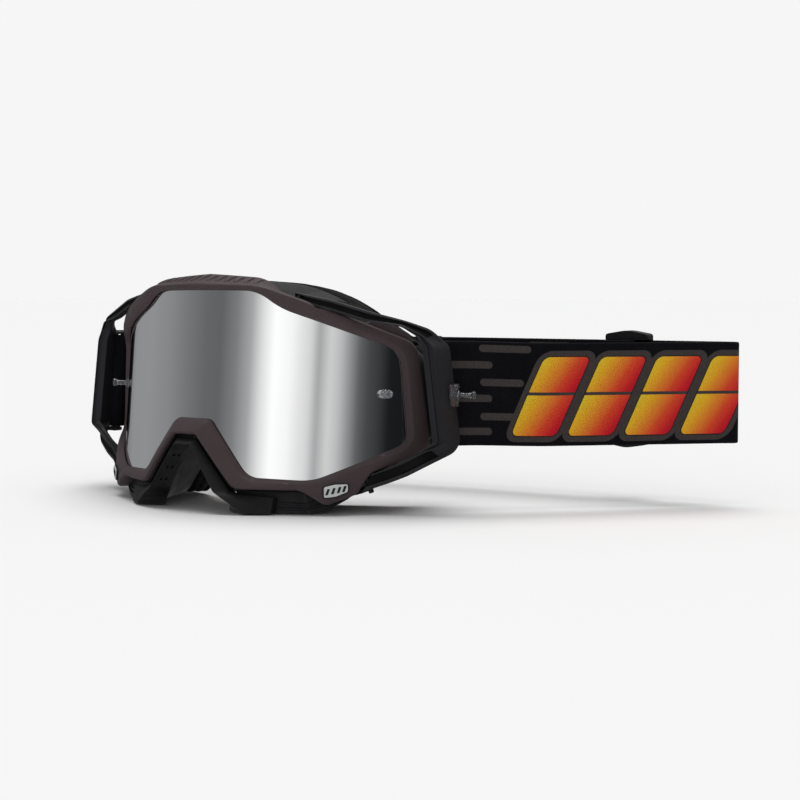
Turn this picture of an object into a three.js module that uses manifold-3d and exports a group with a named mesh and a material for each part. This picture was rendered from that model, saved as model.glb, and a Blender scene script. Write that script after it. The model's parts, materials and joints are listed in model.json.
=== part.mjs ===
// Motocross goggles: a leaning lens and frame with three layers of face foam, two hinged
// outriggers, a removable nose guard, and a wide elastic strap with one sliding adjuster.
// Millimetres, +Z up, the lens faces -Y, and "left" is the wearer's left, at +X.
import * as THREE from "three";
import { mergeVertices } from "three/addons/utils/BufferGeometryUtils.js";
import Module from "manifold-3d";

const wasm = await Module();
wasm.setup();

// ---------------------------------------------------------------- driving dimensions
const GAP = 0.3; // clearance between neighbouring pieces
const EYE_LEVEL = 39.5; // height of the lens's own z = 0 above the surface it stands on
const LEAN = THREE.MathUtils.degToRad(5.3); // the frame leans back by this much
const LENS_R = 92; // front surface of the lens, about a nearly upright axis
const LENS_T = 1.2;
const LENS_MARGIN = 2.2; // how far the lens reaches into its groove
const GROOVE = 2.6;
const FRONT_R = 95.4; // front face of the coloured frame
const SEAM_R = 86.5; // where the coloured frame ends and the black one begins
const SHROUD_R = 90; // front of the black frame where it shows below the coloured one
const FACE_Y = -66; // rear edge of the black frame on the centre line
const FACE_CURVE = 168; // the face contour comes back by x squared over this
const FOAM_LAYERS = [["foam_base", 6], ["foam_middle", 5], ["foam_face", 3]];
const GLUE_GAP = 0.4; // between one layer of foam and the next
const STRAP_W = 43;
const STRAP_T = 1.5;
const STRAP_SAG = 1;
const STRAP_Z = 49.2; // mid height of the strap
const POST_R = 1.8; // the outrigger's inner post, which the strap wraps
const BAR_LEAN = 0.135; // the outriggers spread by this much per mm downwards
const FOLD = [180, 46.8]; // where the strap turns back on itself, in plan

const SHELL_GREY = 0x4b4244;
const looks = {
  shell: { color: SHELL_GREY, roughness: 0.45, metalness: 0.1 },
  black_plastic: { color: 0x17181a, roughness: 0.5, metalness: 0 },
  lens: { color: 0xb9bcbe, roughness: 0.05, metalness: 1 },
  foam: { color: 0x1b1c1b, roughness: 0.95, metalness: 0 },
  strap: { color: 0x101013, roughness: 0.9, metalness: 0 },
  clear_post: { color: 0xc9cccf, roughness: 0.2, metalness: 0.6 },
  badge: { color: 0xd8dadb, roughness: 0.4, metalness: 0.1 },
};
const materials = Object.fromEntries(
  Object.entries(looks).map(([name, look]) => [name, new THREE.MeshStandardMaterial({ name, ...look })]),
);

// ---------------------------------------------------------------- solids
// A closed solid through a row of sections, each the same number of points in order. A ring
// joins its last section to its first, and anything else gets a flat cap at each end.
function skin(sections, { ring = false, cap = null } = {}) {
  const n = sections[0].length;
  const index = [];
  const last = ring ? sections.length : sections.length - 1;
  for (let i = 0; i < last; i++) {
    const a = i * n;
    const b = ((i + 1) % sections.length) * n;
    for (let j = 0; j < n; j++) {
      const k = (j + 1) % n;
      index.push(a + j, a + k, b + k, a + j, b + k, b + j);
    }
  }
  if (!ring) {
    const flat = cap ?? sections[0].map((_, j) => [Math.cos((2 * Math.PI * j) / n), Math.sin((2 * Math.PI * j) / n)]);
    const triangles = THREE.ShapeUtils.triangulateShape(flat.map(([x, y]) => new THREE.Vector2(x, y)), []);
    const area = THREE.ShapeUtils.area(flat.map(([x, y]) => new THREE.Vector2(x, y)));
    const far = (sections.length - 1) * n;
    for (const [p, q, r] of triangles) {
      if (area > 0) index.push(r, q, p, far + p, far + q, far + r);
      else index.push(p, q, r, far + r, far + q, far + p);
    }
  }
  const geometry = new THREE.BufferGeometry().setFromPoints(sections.flat());
  return facingOut(geometry.setIndex(index));
}

function signedVolume(geometry) {
  const p = geometry.getAttribute("position");
  const [a, b, c] = [new THREE.Vector3(), new THREE.Vector3(), new THREE.Vector3()];
  let sum = 0;
  for (let i = 0; i < geometry.index.count; i += 3) {
    [a, b, c].forEach((v, k) => v.fromBufferAttribute(p, geometry.index.getX(i + k)));
    sum += a.dot(b.cross(c));
  }
  return sum / 6;
}

function facingOut(geometry) {
  if (signedVolume(geometry) < 0) geometry.index.array.reverse();
  return geometry;
}

// A geometry as a manifold-3d solid, and back again.
function toSolid(geometry) {
  const bare = geometry.clone();
  bare.deleteAttribute("normal");
  bare.deleteAttribute("uv");
  const merged = mergeVertices(bare, 1e-4);
  return new wasm.Manifold(new wasm.Mesh({
    numProp: 3,
    vertProperties: new Float32Array(merged.getAttribute("position").array),
    triVerts: new Uint32Array(merged.index.array),
  }));
}

function fromSolid(solid) {
  const { vertProperties, triVerts } = solid.getMesh();
  return new THREE.BufferGeometry()
    .setAttribute("position", new THREE.BufferAttribute(vertProperties, 3))
    .setIndex(new THREE.BufferAttribute(triVerts, 1));
}

const join = (...parts) => fromSolid(parts.map(toSolid).reduce((a, b) => a.add(b)));
const cut = (part, ...tools) => fromSolid(tools.map(toSolid).reduce((a, b) => a.subtract(b), toSolid(part)));

function box(sx, sy, sz, x, y, z) {
  return new THREE.BoxGeometry(sx, sy, sz).translate(x, y, z);
}

// A turned piece whose axis runs from a point along a direction: profile is [radius, distance].
function turned(profile, from, direction, sides = 16) {
  const lathe = new THREE.LatheGeometry(profile.map(([r, y]) => new THREE.Vector2(r, y)), sides);
  const turn = new THREE.Quaternion().setFromUnitVectors(new THREE.Vector3(0, 1, 0), direction.clone().normalize());
  return lathe.applyQuaternion(turn).translate(from.x, from.y, from.z);
}

const mirrored = (geometry) => facingOut(geometry.clone().scale(-1, 1, 1));

// ---------------------------------------------------------------- outlines on the lens cylinder
// Every outline is half of a symmetric loop, from the top centre to the bottom centre. A row is
// [s, z, rounding]: s runs round the lens at LENS_R. Rows with the same number belong together.
const OPENING = [
  [0, 43.8, 0], [27.5, 43.8, 6.4], [38, 36.8, 5.6], [87.9, 22.2, 6], [93.8, -15.2, 5], [78, -22.3, 1.5],
  [68, -26.8, 1.5], [54.6, -32.7, 5], [46, -32.8, 1.5], [27.3, -32.8, 5], [8.6, -9.6, 1], [0, -9.6, 0],
];
const FRONT_EDGE = [
  [0, 47.2, 0], [31, 46, 4.8], [38.5, 43.6, 2.6], [95, 25.6, 6], [103.3, -18, 5], [77.5, -28.8, 3],
  [72.7, -37.3, 2], [60.5, -42.5, 2], [49.8, -36.9, 2], [22.8, -38, 3], [5.6, -16.6, 1], [0, -16.6, 0],
];
const BACK_EDGE = [
  [0, 51.2, 0], [29.5, 49.7, 6], [39.5, 41.6, 2.5], [95.5, 27, 6], [104, -18, 5], [77.5, -28.4, 3],
  [72.2, -36.9, 2], [60.5, -42, 2], [50.2, -36.4, 2], [23.2, -37.5, 3], [6, -16.2, 1], [0, -16.2, 0],
];
// The black frame: its outline at the seam, and where its outer wall ends at the face, in x and z.
const SHROUD_EDGE = [
  [0, 50, 0], [28.5, 48.5, 6], [39.5, 40.2, 2.5], [94.5, 25.8, 6], [102.8, -18.5, 5], [78, -30.5, 3],
  [71, -38.8, 2], [62, -44.2, 3], [52, -47.9, 3], [27.6, -47.9, 3], [6.2, -17, 1], [0, -17, 0],
];
const FACE_EDGE = [
  [0, 50.6, 0], [31, 49, 6], [45, 44.2, 8], [77, 20, 8], [82, -8, 8], [72, -20, 3],
  [66, -26, 3], [60, -31, 3], [50, -38, 4], [30, -43.5, 5], [7, -17, 4], [0, -15.8, 0],
];
// The inner edge of the face foam, round the eyes.
const EYE_EDGE = [
  [0, 37.4, 0], [27, 36.2, 5], [39, 32.4, 7], [63.5, 14.6, 8], [69, -6, 8], [61.5, -13.5, 3],
  [57, -18, 2.2], [53.5, -21, 2.2], [46, -26.4, 4], [35.5, -30.4, 5], [13, -5.6, 4], [0, -3.6, 0],
];
const EDGE_STEPS = [3, 1, 6, 2, 3, 1, 1, 1, 3, 3, 1]; // parts that each straight stretch is cut into
const ROUND_STEPS = 2;

// Points along a half outline, its corners rounded, then its mirror image: a full loop.
function loop(rows) {
  const at = rows.map(([s, z]) => new THREE.Vector2(s, z));
  const half = [at[0]];
  let from = at[0];
  for (let i = 1; i < rows.length; i++) {
    const corner = at[i];
    const rounding = rows[i][2];
    const enter = corner.clone().add(at[i - 1].clone().sub(corner).setLength(rounding));
    for (let k = 1; k <= EDGE_STEPS[i - 1]; k++) half.push(from.clone().lerp(enter, k / EDGE_STEPS[i - 1]));
    if (i === rows.length - 1) break;
    const leave = corner.clone().add(at[i + 1].clone().sub(corner).setLength(rounding));
    const bend = new THREE.QuadraticBezierCurve(enter, corner, leave);
    for (let k = 1; k <= ROUND_STEPS; k++) half.push(bend.getPoint(k / ROUND_STEPS));
    from = leave;
  }
  const other = half.slice(1, -1).reverse().map((p) => new THREE.Vector2(-p.x, p.y));
  return [...half, ...other];
}

// Where a straight stretch starts and ends in a loop's points.
const stretchEnd = (row) => EDGE_STEPS.slice(0, row + 1).reduce((a, b) => a + b, 0) + ROUND_STEPS * row;
const stretchStart = (row) => stretchEnd(row) - EDGE_STEPS[row];

const onCylinder = (p, r) =>
  new THREE.Vector3(r * Math.sin(p.x / LENS_R), -r * Math.cos(p.x / LENS_R), p.y);
const faceY = (x) => FACE_Y + (x * x) / FACE_CURVE;
const onFace = (p, back = 0) => new THREE.Vector3(p.x, faceY(p.x) + back, p.y);

// Moves each point of a loop outwards, square to the loop, by so many millimetres.
function grown(points, by) {
  return points.map((p, i) => {
    const before = points.at(i - 1);
    const after = points[(i + 1) % points.length];
    const along = after.clone().sub(before).normalize();
    return p.clone().add(new THREE.Vector2(-along.y, along.x).multiplyScalar(by));
  });
}

const towards = (a, b, by) => a.clone().add(b.clone().sub(a).setLength(by));

const opening = loop(OPENING);
const frontEdge = loop(FRONT_EDGE);
const backEdge = loop(BACK_EDGE);
const shroudEdge = loop(SHROUD_EDGE);
const faceEdge = loop(FACE_EDGE);
const faceInner = loop(EYE_EDGE);

// How far the coloured frame's outer edge stands proud of its usual radius beside the nose.
const NOSE_RISE = { most: 3.7, from: 5.6, over: 40 };
function noseRise({ x: s, y: z }) {
  if (z > 0) return 0;
  return NOSE_RISE.most * THREE.MathUtils.clamp(1 - (Math.abs(s) - NOSE_RISE.from) / NOSE_RISE.over, 0, 1);
}

// ---------------------------------------------------------------- frame, lens and foam
function frontFrame() {
  const [lip, rim, groove] = [1.3, 1, GROOVE].map((by) => grown(opening, by));
  const behindLens = LENS_R - LENS_T - GAP;
  const sections = opening.map((inner, i) => [
    onCylinder(inner, LENS_R + 1.4),
    onCylinder(lip[i], FRONT_R),
    onCylinder(towards(frontEdge[i], inner, 0.9), FRONT_R + noseRise(frontEdge[i])),
    onCylinder(frontEdge[i], FRONT_R - 1.2 + noseRise(frontEdge[i])),
    onCylinder(backEdge[i], SEAM_R),
    onCylinder(rim[i], SEAM_R),
    onCylinder(rim[i], behindLens),
    onCylinder(groove[i], behindLens),
    onCylinder(groove[i], LENS_R + GAP),
    onCylinder(inner, LENS_R + GAP),
  ]);
  const swings = [SWING.forward, SWING.forward / 2, 0, SWING.back / 2, SWING.back];
  const room = [...swings.map((turn) => swung(outriggerPlate(0.5), turn)), ...pivotPins(GAP)].map(inShell);
  const ring = join(skin(sections, { ring: true }), hump(1), hump(-1));
  return cut(ring, ...room, ...room.map(mirrored));
}

// A low hump on the coloured frame's upper edge, under the arm. Each row is [s, lower, upper].
const HUMP = [[71, 30.5, 32.3], [75, 29.5, 33.6], [82, 27.5, 33.4], [89, 26, 30.8], [93, 25, 26.8]];
const HUMP_R = [FRONT_R - 2, SEAM_R + 1];
function hump(side) {
  const [front, rear] = HUMP_R;
  return skin(HUMP.map(([s, low, high]) => [
    onCylinder({ x: side * s, y: low }, front), onCylinder({ x: side * s, y: high }, front),
    onCylinder({ x: side * s, y: high }, rear), onCylinder({ x: side * s, y: low }, rear),
  ]));
}

function rearFrame() {
  const wall = 2;
  const seam = SEAM_R - GAP;
  const sections = opening.map((inner, i) => {
    const edge = shroudEdge[i];
    const along = Math.min(i, opening.length - i);
    const shows = along >= stretchStart(6) && along <= stretchStart(10);
    const step = shows ? towards(frontEdge[i], edge, GAP + 0.2) : edge.clone().lerp(inner, 0.02);
    const depth = shows ? SHROUD_R : seam + 0.01;
    const web = towards(inner, edge, 1.2);
    const wallFront = towards(edge, inner, wall);
    return [
      onCylinder(edge, depth),
      onCylinder(step, depth),
      onCylinder(step, seam),
      onCylinder(web, seam),
      onCylinder(web, seam - wall),
      onCylinder(wallFront, seam - wall),
      onFace(towards(faceEdge[i], faceInner[i], wall), -wall),
      onFace(faceInner[i], -wall),
      onFace(faceInner[i]),
      onFace(faceEdge[i]),
    ];
  });
  return cut(skin(sections, { ring: true }), below(0));
}

// Everything under a level height, in the leaning frame's own axes.
function below(height) {
  return inShell(box(400, 400, 40, 0, 0, height - 20));
}

// The lens is a bent sheet, made of upright strips between its lower and upper edge.
function lens() {
  const edge = grown(opening, LENS_MARGIN);
  const middle = Math.floor(edge.length / 2);
  const right = edge.slice(0, middle + 1);
  const tip = right.reduce((a, b) => (b.x > a.x ? b : a));
  const upper = right.slice(0, right.indexOf(tip) + 1);
  const lower = right.slice(right.indexOf(tip)).reverse();
  const heightAt = (line, s) => {
    const k = Math.max(1, line.findIndex((p) => p.x >= s));
    const [a, b] = [line[k - 1], line[k]];
    return b.x - a.x < 1e-6 ? b.y : a.y + ((b.y - a.y) * (s - a.x)) / (b.x - a.x);
  };
  const stops = [...upper, ...lower].map((p) => p.x).filter((s) => s > 0.01 && s < tip.x - 0.5);
  const steps = [...new Set([...stops.map((s) => Math.round(s * 2) / 2), tip.x - 0.5])].sort((a, b) => a - b);
  const sides = [...steps.map((s) => -s).reverse(), 0, ...steps];
  const sections = sides.map((s) => {
    const high = heightAt(upper, Math.abs(s));
    const low = heightAt(lower, Math.abs(s));
    const inner = LENS_R - LENS_T;
    return [
      onCylinder({ x: s, y: low }, LENS_R), onCylinder({ x: s, y: high }, LENS_R),
      onCylinder({ x: s, y: high }, inner), onCylinder({ x: s, y: low }, inner),
    ];
  });
  return skin(sections);
}

function foamRing(from, thickness) {
  const start = from + GLUE_GAP;
  const end = from + thickness;
  const sections = faceEdge.map((outer, i) => {
    const inner = faceInner[i];
    const middle = outer.clone().lerp(inner, 0.5);
    return [
      onFace(outer, start), onFace(outer, end), onFace(middle, end),
      onFace(inner, end), onFace(inner, start), onFace(middle, start),
    ];
  });
  return skin(sections, { ring: true });
}

// A strip of filter foam on the outside of the black frame's wall, beside one straight stretch.
function ventFoam(row, [near, far]) {
  const sections = [];
  for (let i = stretchStart(row); i <= stretchEnd(row); i++) {
    const front = (by) => onCylinder(towards(shroudEdge[i], opening[i], -by), SEAM_R - GAP);
    const rear = (by) => onFace(towards(faceEdge[i], faceInner[i], -by));
    const at = (t, by) => front(by).lerp(rear(by), t);
    sections.push([at(near, GAP), at(near, 2), at(far, 2.6), at(far, GAP)]);
  }
  return skin(sections);
}

// A tear-off post: a collar, a thin neck and a head, standing square on the lens.
const LENS_POST = { s: 82.4, z: 4.3, collar: 1.7, neck: 1, head: 1.7, length: 7.5 };
function lensPost(side) {
  const { s, z, collar, neck, head, length } = LENS_POST;
  const foot = onCylinder({ x: side * s, y: z }, LENS_R + GAP);
  const out = new THREE.Vector3(foot.x, foot.y, 0);
  return turned(
    [[0, 0], [collar, 0], [collar, 1.2], [neck, 1.7], [neck, length - 2], [head, length - 1.6], [head, length], [0, length]],
    foot, out, 14,
  );
}

// The small plate low on each side of the coloured frame.
const BADGE = [[58.9, -34.8], [63.5, -33], [69.2, -32.9], [69.4, -36.2], [64.5, -38.9], [59.3, -39.5]];
function badge(side) {
  const rows = BADGE.map(([s, z]) => new THREE.Vector2(side * s, z));
  const at = (r) => rows.map((p) => onCylinder(p, r));
  return skin([at(FRONT_R + GAP), at(FRONT_R + 1)], { cap: BADGE });
}

// ---------------------------------------------------------------- nose guard
// A V under the nose notch. Its ridge stands proud of the frame and slopes back outwards to the
// notch, and a perforated wall runs back from the ridge beside the nose. A row is a place on
// the ridge and one on the outer edge, each as [x, z, radius], and the wall's rear edge, as
// [x, how far behind the ridge].
const GUARD_ROWS = [
  { ridge: [4.2, -20.6, 99.6], outer: [5, -17.8, 96.6], rear: [4.2, 9] },
  { ridge: [17.2, -39.4, 99.8], outer: [21.9, -39, 95.4], rear: [17.2, 13] },
  { ridge: [20.4, -41.4, 99.4], outer: [26, -39.6, 94.6], rear: [17.2, 11.6] },
  { ridge: [30, -47.4, 97.4], outer: [34, -40, 93.6], rear: [17.8, 7.6] },
  { ridge: [30.6, -47.4, 97.2], outer: [34.3, -40, 93.6], rear: [30.6, 2] },
  { ridge: [38.5, -47, 94.4], outer: [38.5, -40.2, 93], rear: [38.5, 1.8] },
];
const GUARD = { wall: 1.6, plate: 1.5, clearance: 0.5 };
const HOLE = { r: 0.75, inside: 0.9, length: 3.2, sides: 6 };
const HOLE_DEPTHS = [4.4, 7.4]; // behind the ridge
const HOLE_PLACES = [0.27, 0.55, 0.83]; // along the leg, from the bridge down
const guardPlace = ([x, z, r]) => new THREE.Vector3(x, -Math.sqrt(r * r - x * x), z);

function noseGuard() {
  const { wall, plate, clearance } = GUARD;
  const section = ({ ridge: [x, z, r], outer, rear }, side) => {
    const way = new THREE.Vector2(outer[0] - x, outer[1] - z).setLength(wall);
    const back = r - rear[1];
    const corners = [
      [x, z, r], [rear[0], z, back], [rear[0] + way.x, z + way.y, back],
      [x + way.x, z + way.y, r - wall - plate], [outer[0], outer[1], outer[2] - plate], outer,
    ];
    return corners.map((corner) => guardPlace([side * corner[0], corner[1], corner[2]]));
  };
  const left = GUARD_ROWS.map((row) => section(row, 1));
  const right = GUARD_ROWS.map((row) => section(row, -1)).reverse();
  const end = GUARD_ROWS.at(-1);
  const cap = [[0, 0], [0, -end.rear[1]], [1, -end.rear[1]], [1, -1.7], [4, -1.5], [4, 0]];
  return cut(skin([...right, ...left], { cap }), ...guardHoles(), below(clearance));
}

// Round air holes through the wall of each leg.
function guardHoles() {
  const [from, to] = GUARD_ROWS.map((row) => new THREE.Vector3(...row.ridge));
  const leg = new THREE.Vector2(to.x - from.x, to.y - from.y).normalize();
  const out = new THREE.Vector2(-leg.y, leg.x);
  const holes = [];
  for (const side of [-1, 1]) {
    for (const depth of HOLE_DEPTHS) {
      for (const t of HOLE_PLACES) {
        const p = from.clone().lerp(to, t);
        const way = new THREE.Vector3(side * out.x, 0, out.y);
        const start = guardPlace([side * p.x, p.y, p.z - depth]).addScaledVector(way, -HOLE.inside);
        const profile = [[0, 0], [HOLE.r, 0], [HOLE.r, HOLE.length], [0, HOLE.length]];
        holes.push(turned(profile, start, way, HOLE.sides));
      }
    }
  }
  return holes;
}

// ---------------------------------------------------------------- outriggers (level axes)
const barOuterX = (z) => 96.8 - BAR_LEAN * (z - STRAP_Z);
const STRAP_TOP = STRAP_Z + STRAP_W / 2;
const STRAP_BOTTOM = STRAP_Z - STRAP_W / 2;
const BAR = { front: -54.3, rear: -42, top: STRAP_TOP - 2, bottom: STRAP_BOTTOM + 2 };
const BRIDGE = 1.8; // thickness of the lower bridge that holds the post
const WEB = { top: 74.2, front: -50.4, rear: -45.6 }; // joins the upper bridge to the arm
const POST = { inward: 7.6, y: -45 };
const PIVOT_UPPER = new THREE.Vector3(43, -75.6, 87.4);
const PIVOT_LOWER = new THREE.Vector3(69, -65, 14);
const SWING = { forward: -6, back: 8 }; // degrees that the outrigger turns on its pins
const PIN = { radius: 1.1, up: [2, 3.6], down: [2.4, 5.4] }; // reach above and below each pivot

// The upper arm, the bar and the lower arm are one bent plate. Each row is the plate's outer
// front, outer rear, inner rear and inner front corner, as [x, y, z].
function outriggerPlate(grow = 0) {
  const barAt = (z) => [
    [barOuterX(z), BAR.front, z], [barOuterX(z) + 0.2, BAR.rear, z],
    [barOuterX(z) - 2.8, BAR.rear, z], [barOuterX(z) - 5.8, BAR.front, z],
  ];
  const rows = [
    [[41, -78.6, 86.9], [41, -78, 90.6], [39.2, -73.6, 90.6], [39.2, -73.8, 86.9]],
    [[48, -76.6, 85.8], [48, -75.8, 89.4], [46.2, -71.6, 89.4], [46.2, -72.2, 85.8]],
    [[57, -73.8, 83.4], [57, -72.8, 87.6], [55.2, -69.6, 87.6], [55.2, -70.4, 83.4]],
    [[71, -67.6, 78.8], [71, -66.2, 83], [68.8, -63, 83], [68.8, -64.6, 78.8]],
    [[83.5, -61.2, 77], [83.5, -59, 79.4], [80.6, -56, 79.2], [80.6, -58, 76.8]],
    [[90.4, -56, 72.8], [91.6, -52, 75.8], [88.2, -49.4, 75.4], [85.8, -54.4, 72.8]],
    barAt(BAR.top), barAt(STRAP_Z), barAt(BAR.bottom),
    [[97.6, -55.2, 28.5], [99.8, -46.4, 25.6], [96.8, -46, 26], [92.4, -54.4, 29.5]],
    [[91.4, -57.6, 26.4], [92.6, -55, 20.6], [89.8, -52.6, 20.8], [88.4, -55, 26.4]],
    [[84.4, -59.8, 22.4], [84.6, -59, 16], [82.2, -56.4, 16], [82, -57, 22.2]],
    [[77.4, -62.4, 19.2], [77.4, -61.8, 13], [75.2, -58.4, 13], [75, -58.8, 19]],
    [[71.8, -66, 16.8], [69.4, -68.6, 9.6], [66.4, -64.6, 9.8], [68.8, -62, 16.6]],
  ];
  return skin(rows.map((row) => roomier(row.map((p) => new THREE.Vector3(...p)), grow)));
}

// Four corners pushed away from their middle.
function roomier(corners, by) {
  const middle = corners.reduce((sum, p) => sum.add(p), new THREE.Vector3()).divideScalar(corners.length);
  return corners.map((p) => p.clone().add(p.clone().sub(middle).setLength(by)));
}

function outrigger() {
  const bridgeZ = [STRAP_BOTTOM - 0.4 - BRIDGE / 2, STRAP_TOP + 0.4 + BRIDGE / 2];
  const [low, high] = bridgeZ.map((z) => new THREE.Vector3(barOuterX(z) - POST.inward, POST.y, z));
  const length = high.distanceTo(low);
  const post = turned([[0, 0], [POST_R, 0], [POST_R, length], [0, length]], low, high.clone().sub(low), 10);
  const bridges = bridgeZ.map((z) => box(6.8, 4.2, BRIDGE, barOuterX(z) - 6, POST.y, z));
  const webBottom = STRAP_TOP + 0.4;
  const webZ = (webBottom + WEB.top) / 2;
  const web = box(
    6.8, WEB.rear - WEB.front, WEB.top - webBottom, barOuterX(webZ) - 6, (WEB.rear + WEB.front) / 2, webZ,
  );
  return cut(join(outriggerPlate(), post, ...bridges, web), ...pivotPins(GAP));
}

// The two pins lie on one line, which is the hinge that the outrigger swings on.
function pivotPins(grow = 0) {
  const axis = PIVOT_UPPER.clone().sub(PIVOT_LOWER).normalize();
  return [[PIVOT_UPPER, PIN.up], [PIVOT_LOWER, PIN.down]].map(([at, [above, below]]) => {
    const length = above + below + 2 * grow;
    const r = PIN.radius + grow;
    const start = at.clone().addScaledVector(axis, -below - grow);
    return turned([[0, 0], [r, 0], [r, length], [0, length]], start, axis, 10);
  });
}

// A left outrigger's geometry turned on its hinge, in degrees.
function swung(geometry, degrees) {
  const axis = PIVOT_UPPER.clone().sub(PIVOT_LOWER).normalize();
  const turn = new THREE.Matrix4().makeRotationAxis(axis, THREE.MathUtils.degToRad(degrees));
  const { x, y, z } = PIVOT_LOWER;
  return geometry.translate(-x, -y, -z).applyMatrix4(turn).translate(x, y, z);
}

// The same places as seen from inside the leaning frame.
const inShell = (geometry) => geometry.translate(0, 0, -EYE_LEVEL).rotateX(LEAN);

// A second tear-off post, clipped on the rear edge of the outrigger's bar.
function outriggerPost() {
  const z = 48.8;
  const x = barOuterX(z);
  const out = new THREE.Vector3(0.9, 0.44, 0);
  const plate = box(1.2, 5.4, 9.4, 0, 0, 0).rotateY(-Math.atan(BAR_LEAN)).translate(x + GAP + 0.9, BAR.rear - 2.6, z);
  const start = new THREE.Vector3(x + GAP + 1, BAR.rear - 0.4, z);
  const pin = turned([[0, 0], [1.9, 0], [1.9, 1.2], [1, 1.7], [1, 6], [1.7, 6.5], [1.7, 8.2], [0, 8.2]], start, out, 12);
  return join(plate, pin);
}

// ---------------------------------------------------------------- strap (level axes)
// A row along the strap is its middle in plan, how much it follows the bar's lean (1 at the
// outrigger, 0 away from it), which side that lean is on, and how far it sags.
const postX = barOuterX(STRAP_Z) - POST.inward;
const wrapR = POST_R + GAP + STRAP_T / 2; // middle of the strap round a post
const layer = STRAP_T + 0.5; // from one layer's middle to the next

function wrapPoints(side, count = 6) {
  const points = [];
  for (let k = 0; k <= count; k++) {
    const a = (Math.PI * k) / count;
    points.push([side * (postX - wrapR * Math.cos(a)), POST.y - wrapR * Math.sin(a)]);
  }
  return points; // from the inner side, round the front, to the outer side
}

function smoothRow(points, steps) {
  const curve = new THREE.CatmullRomCurve3(points.map(([x, y]) => new THREE.Vector3(x, y, 0)), false, "centripetal");
  return curve.getPoints(steps).map((p) => [p.x, p.y]);
}

const NEAR_TURN = [[postX + wrapR + 0.2, -42], [postX + wrapR + 1.8, -38.4], [postX + wrapR + 5.4, -34.6]];
const TAIL_TURN = [[postX - wrapR + 0.6, -41], [postX - 0.4, -37.4]];
const FAR_RUN = [[158, 49.4], [82, 45.1]]; // straight, for the adjuster to slide on
const FAR_ROUTE = [
  [40, 42.4], [2, 36.8], [-34, 29], [-64, 17.5], [-83, 1], [-92, -18], [-93.4, -34], [-postX - wrapR, POST.y],
];
const foldTurn = [[FOLD[0] - 4.4, FOLD[1] - 3.4], [FOLD[0] - 0.6, FOLD[1] - 0.4], [FOLD[0] + 0.4, FOLD[1] + 1.6], [FOLD[0] - 1.4, FOLD[1] + 3.2], [FOLD[0] - 5.4, FOLD[1] + 3.2]];

// How the strap hangs at a place in plan: it follows a bar's lean beside an outrigger, and
// away from both it stands upright and has sagged a little.
function hang([x, y]) {
  const away = Math.hypot(Math.abs(x) - postX, y - POST.y);
  const lean = Math.max(0, 1 - away / 45) * Math.sign(x);
  return { lean, sag: STRAP_SAG * THREE.MathUtils.smoothstep(away, 10, 50) };
}

function ribbon(points, thickness = STRAP_T, width = STRAP_W) {
  const sections = points.map((p, i) => {
    const before = points[Math.max(0, i - 1)];
    const after = points[Math.min(points.length - 1, i + 1)];
    const along = new THREE.Vector2(after[0] - before[0], after[1] - before[1]).normalize();
    const side = [-along.y * (thickness / 2), along.x * (thickness / 2)];
    const { lean, sag } = hang(p);
    const corner = (k, h) => new THREE.Vector3(
      p[0] + k * side[0] - lean * BAR_LEAN * h, p[1] + k * side[1], STRAP_Z + h - sag);
    return [corner(1, -width / 2), corner(1, width / 2), corner(-1, width / 2), corner(-1, -width / 2)];
  });
  return skin(sections);
}

// Points moved sideways from a row, for a layer that lies beside another.
function beside(points, by) {
  return points.map((p, i) => {
    const before = points[Math.max(0, i - 1)];
    const after = points[Math.min(points.length - 1, i + 1)];
    const along = new THREE.Vector2(after[0] - before[0], after[1] - before[1]).normalize();
    return [p[0] - along.y * by, p[1] + along.x * by];
  });
}

const nearBand = [...smoothRow([wrapPoints(1).at(-1), ...NEAR_TURN], 8), foldTurn[0]];
const farBand = [foldTurn.at(-1), FAR_RUN[0], ...smoothRow([FAR_RUN[1], ...FAR_ROUTE], 32)];

function strapBand() {
  const [start, towardsFold] = beside([nearBand.at(-2), nearBand.at(-1)], layer);
  const end = [0, 1].map((k) => start[k] + (towardsFold[k] - start[k]) * 0.2);
  return ribbon([
    end, start, ...[...TAIL_TURN].reverse(), ...wrapPoints(1), ...nearBand.slice(1),
    ...foldTurn.slice(1, -1), ...farBand.slice(0, -1), ...wrapPoints(-1).reverse(),
  ]);
}

// The inner layer, from the right outrigger's post back to the adjuster's middle bar.
const runAngle = Math.atan2(FAR_RUN[0][1] - FAR_RUN[1][1], FAR_RUN[0][0] - FAR_RUN[1][0]);
const onRun = (x) => FAR_RUN[1][1] + (x - FAR_RUN[1][0]) * Math.tan(runAngle);
const SLIDER_AT = new THREE.Vector2(130, onRun(130));
const SLIDER_BAR = { width: 4, thickness: 1.2 };
function strapReturn() {
  const inner = beside(farBand, layer).filter(([x]) => x < SLIDER_AT.x - 6).reverse();
  const clear = inner.filter(([, y]) => y > POST.y + 8);
  const start = [wrapPoints(-1)[0][0], POST.y + 3 * GAP];
  const turnR = (SLIDER_BAR.thickness + 2 * GAP + STRAP_T) / 2;
  // Places beside the adjuster: along the strap from its middle, and across from the band.
  const atSlider = (along, across) => {
    const p = new THREE.Vector2(along, across).rotateAround(new THREE.Vector2(), runAngle).add(SLIDER_AT);
    return [p.x, p.y];
  };
  const turn = [90, 45, 0, -45, -90].map((degrees) => {
    const a = THREE.MathUtils.degToRad(degrees);
    const edge = SLIDER_BAR.width / 2 + GAP;
    return atSlider(edge + turnR * Math.cos(a), turnR * Math.sin(a) - turnR - layer);
  });
  return ribbon([start, [start[0] - 1, POST.y + 5], ...clear, ...turn, atSlider(-12, -2 * turnR - layer)]);
}

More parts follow.
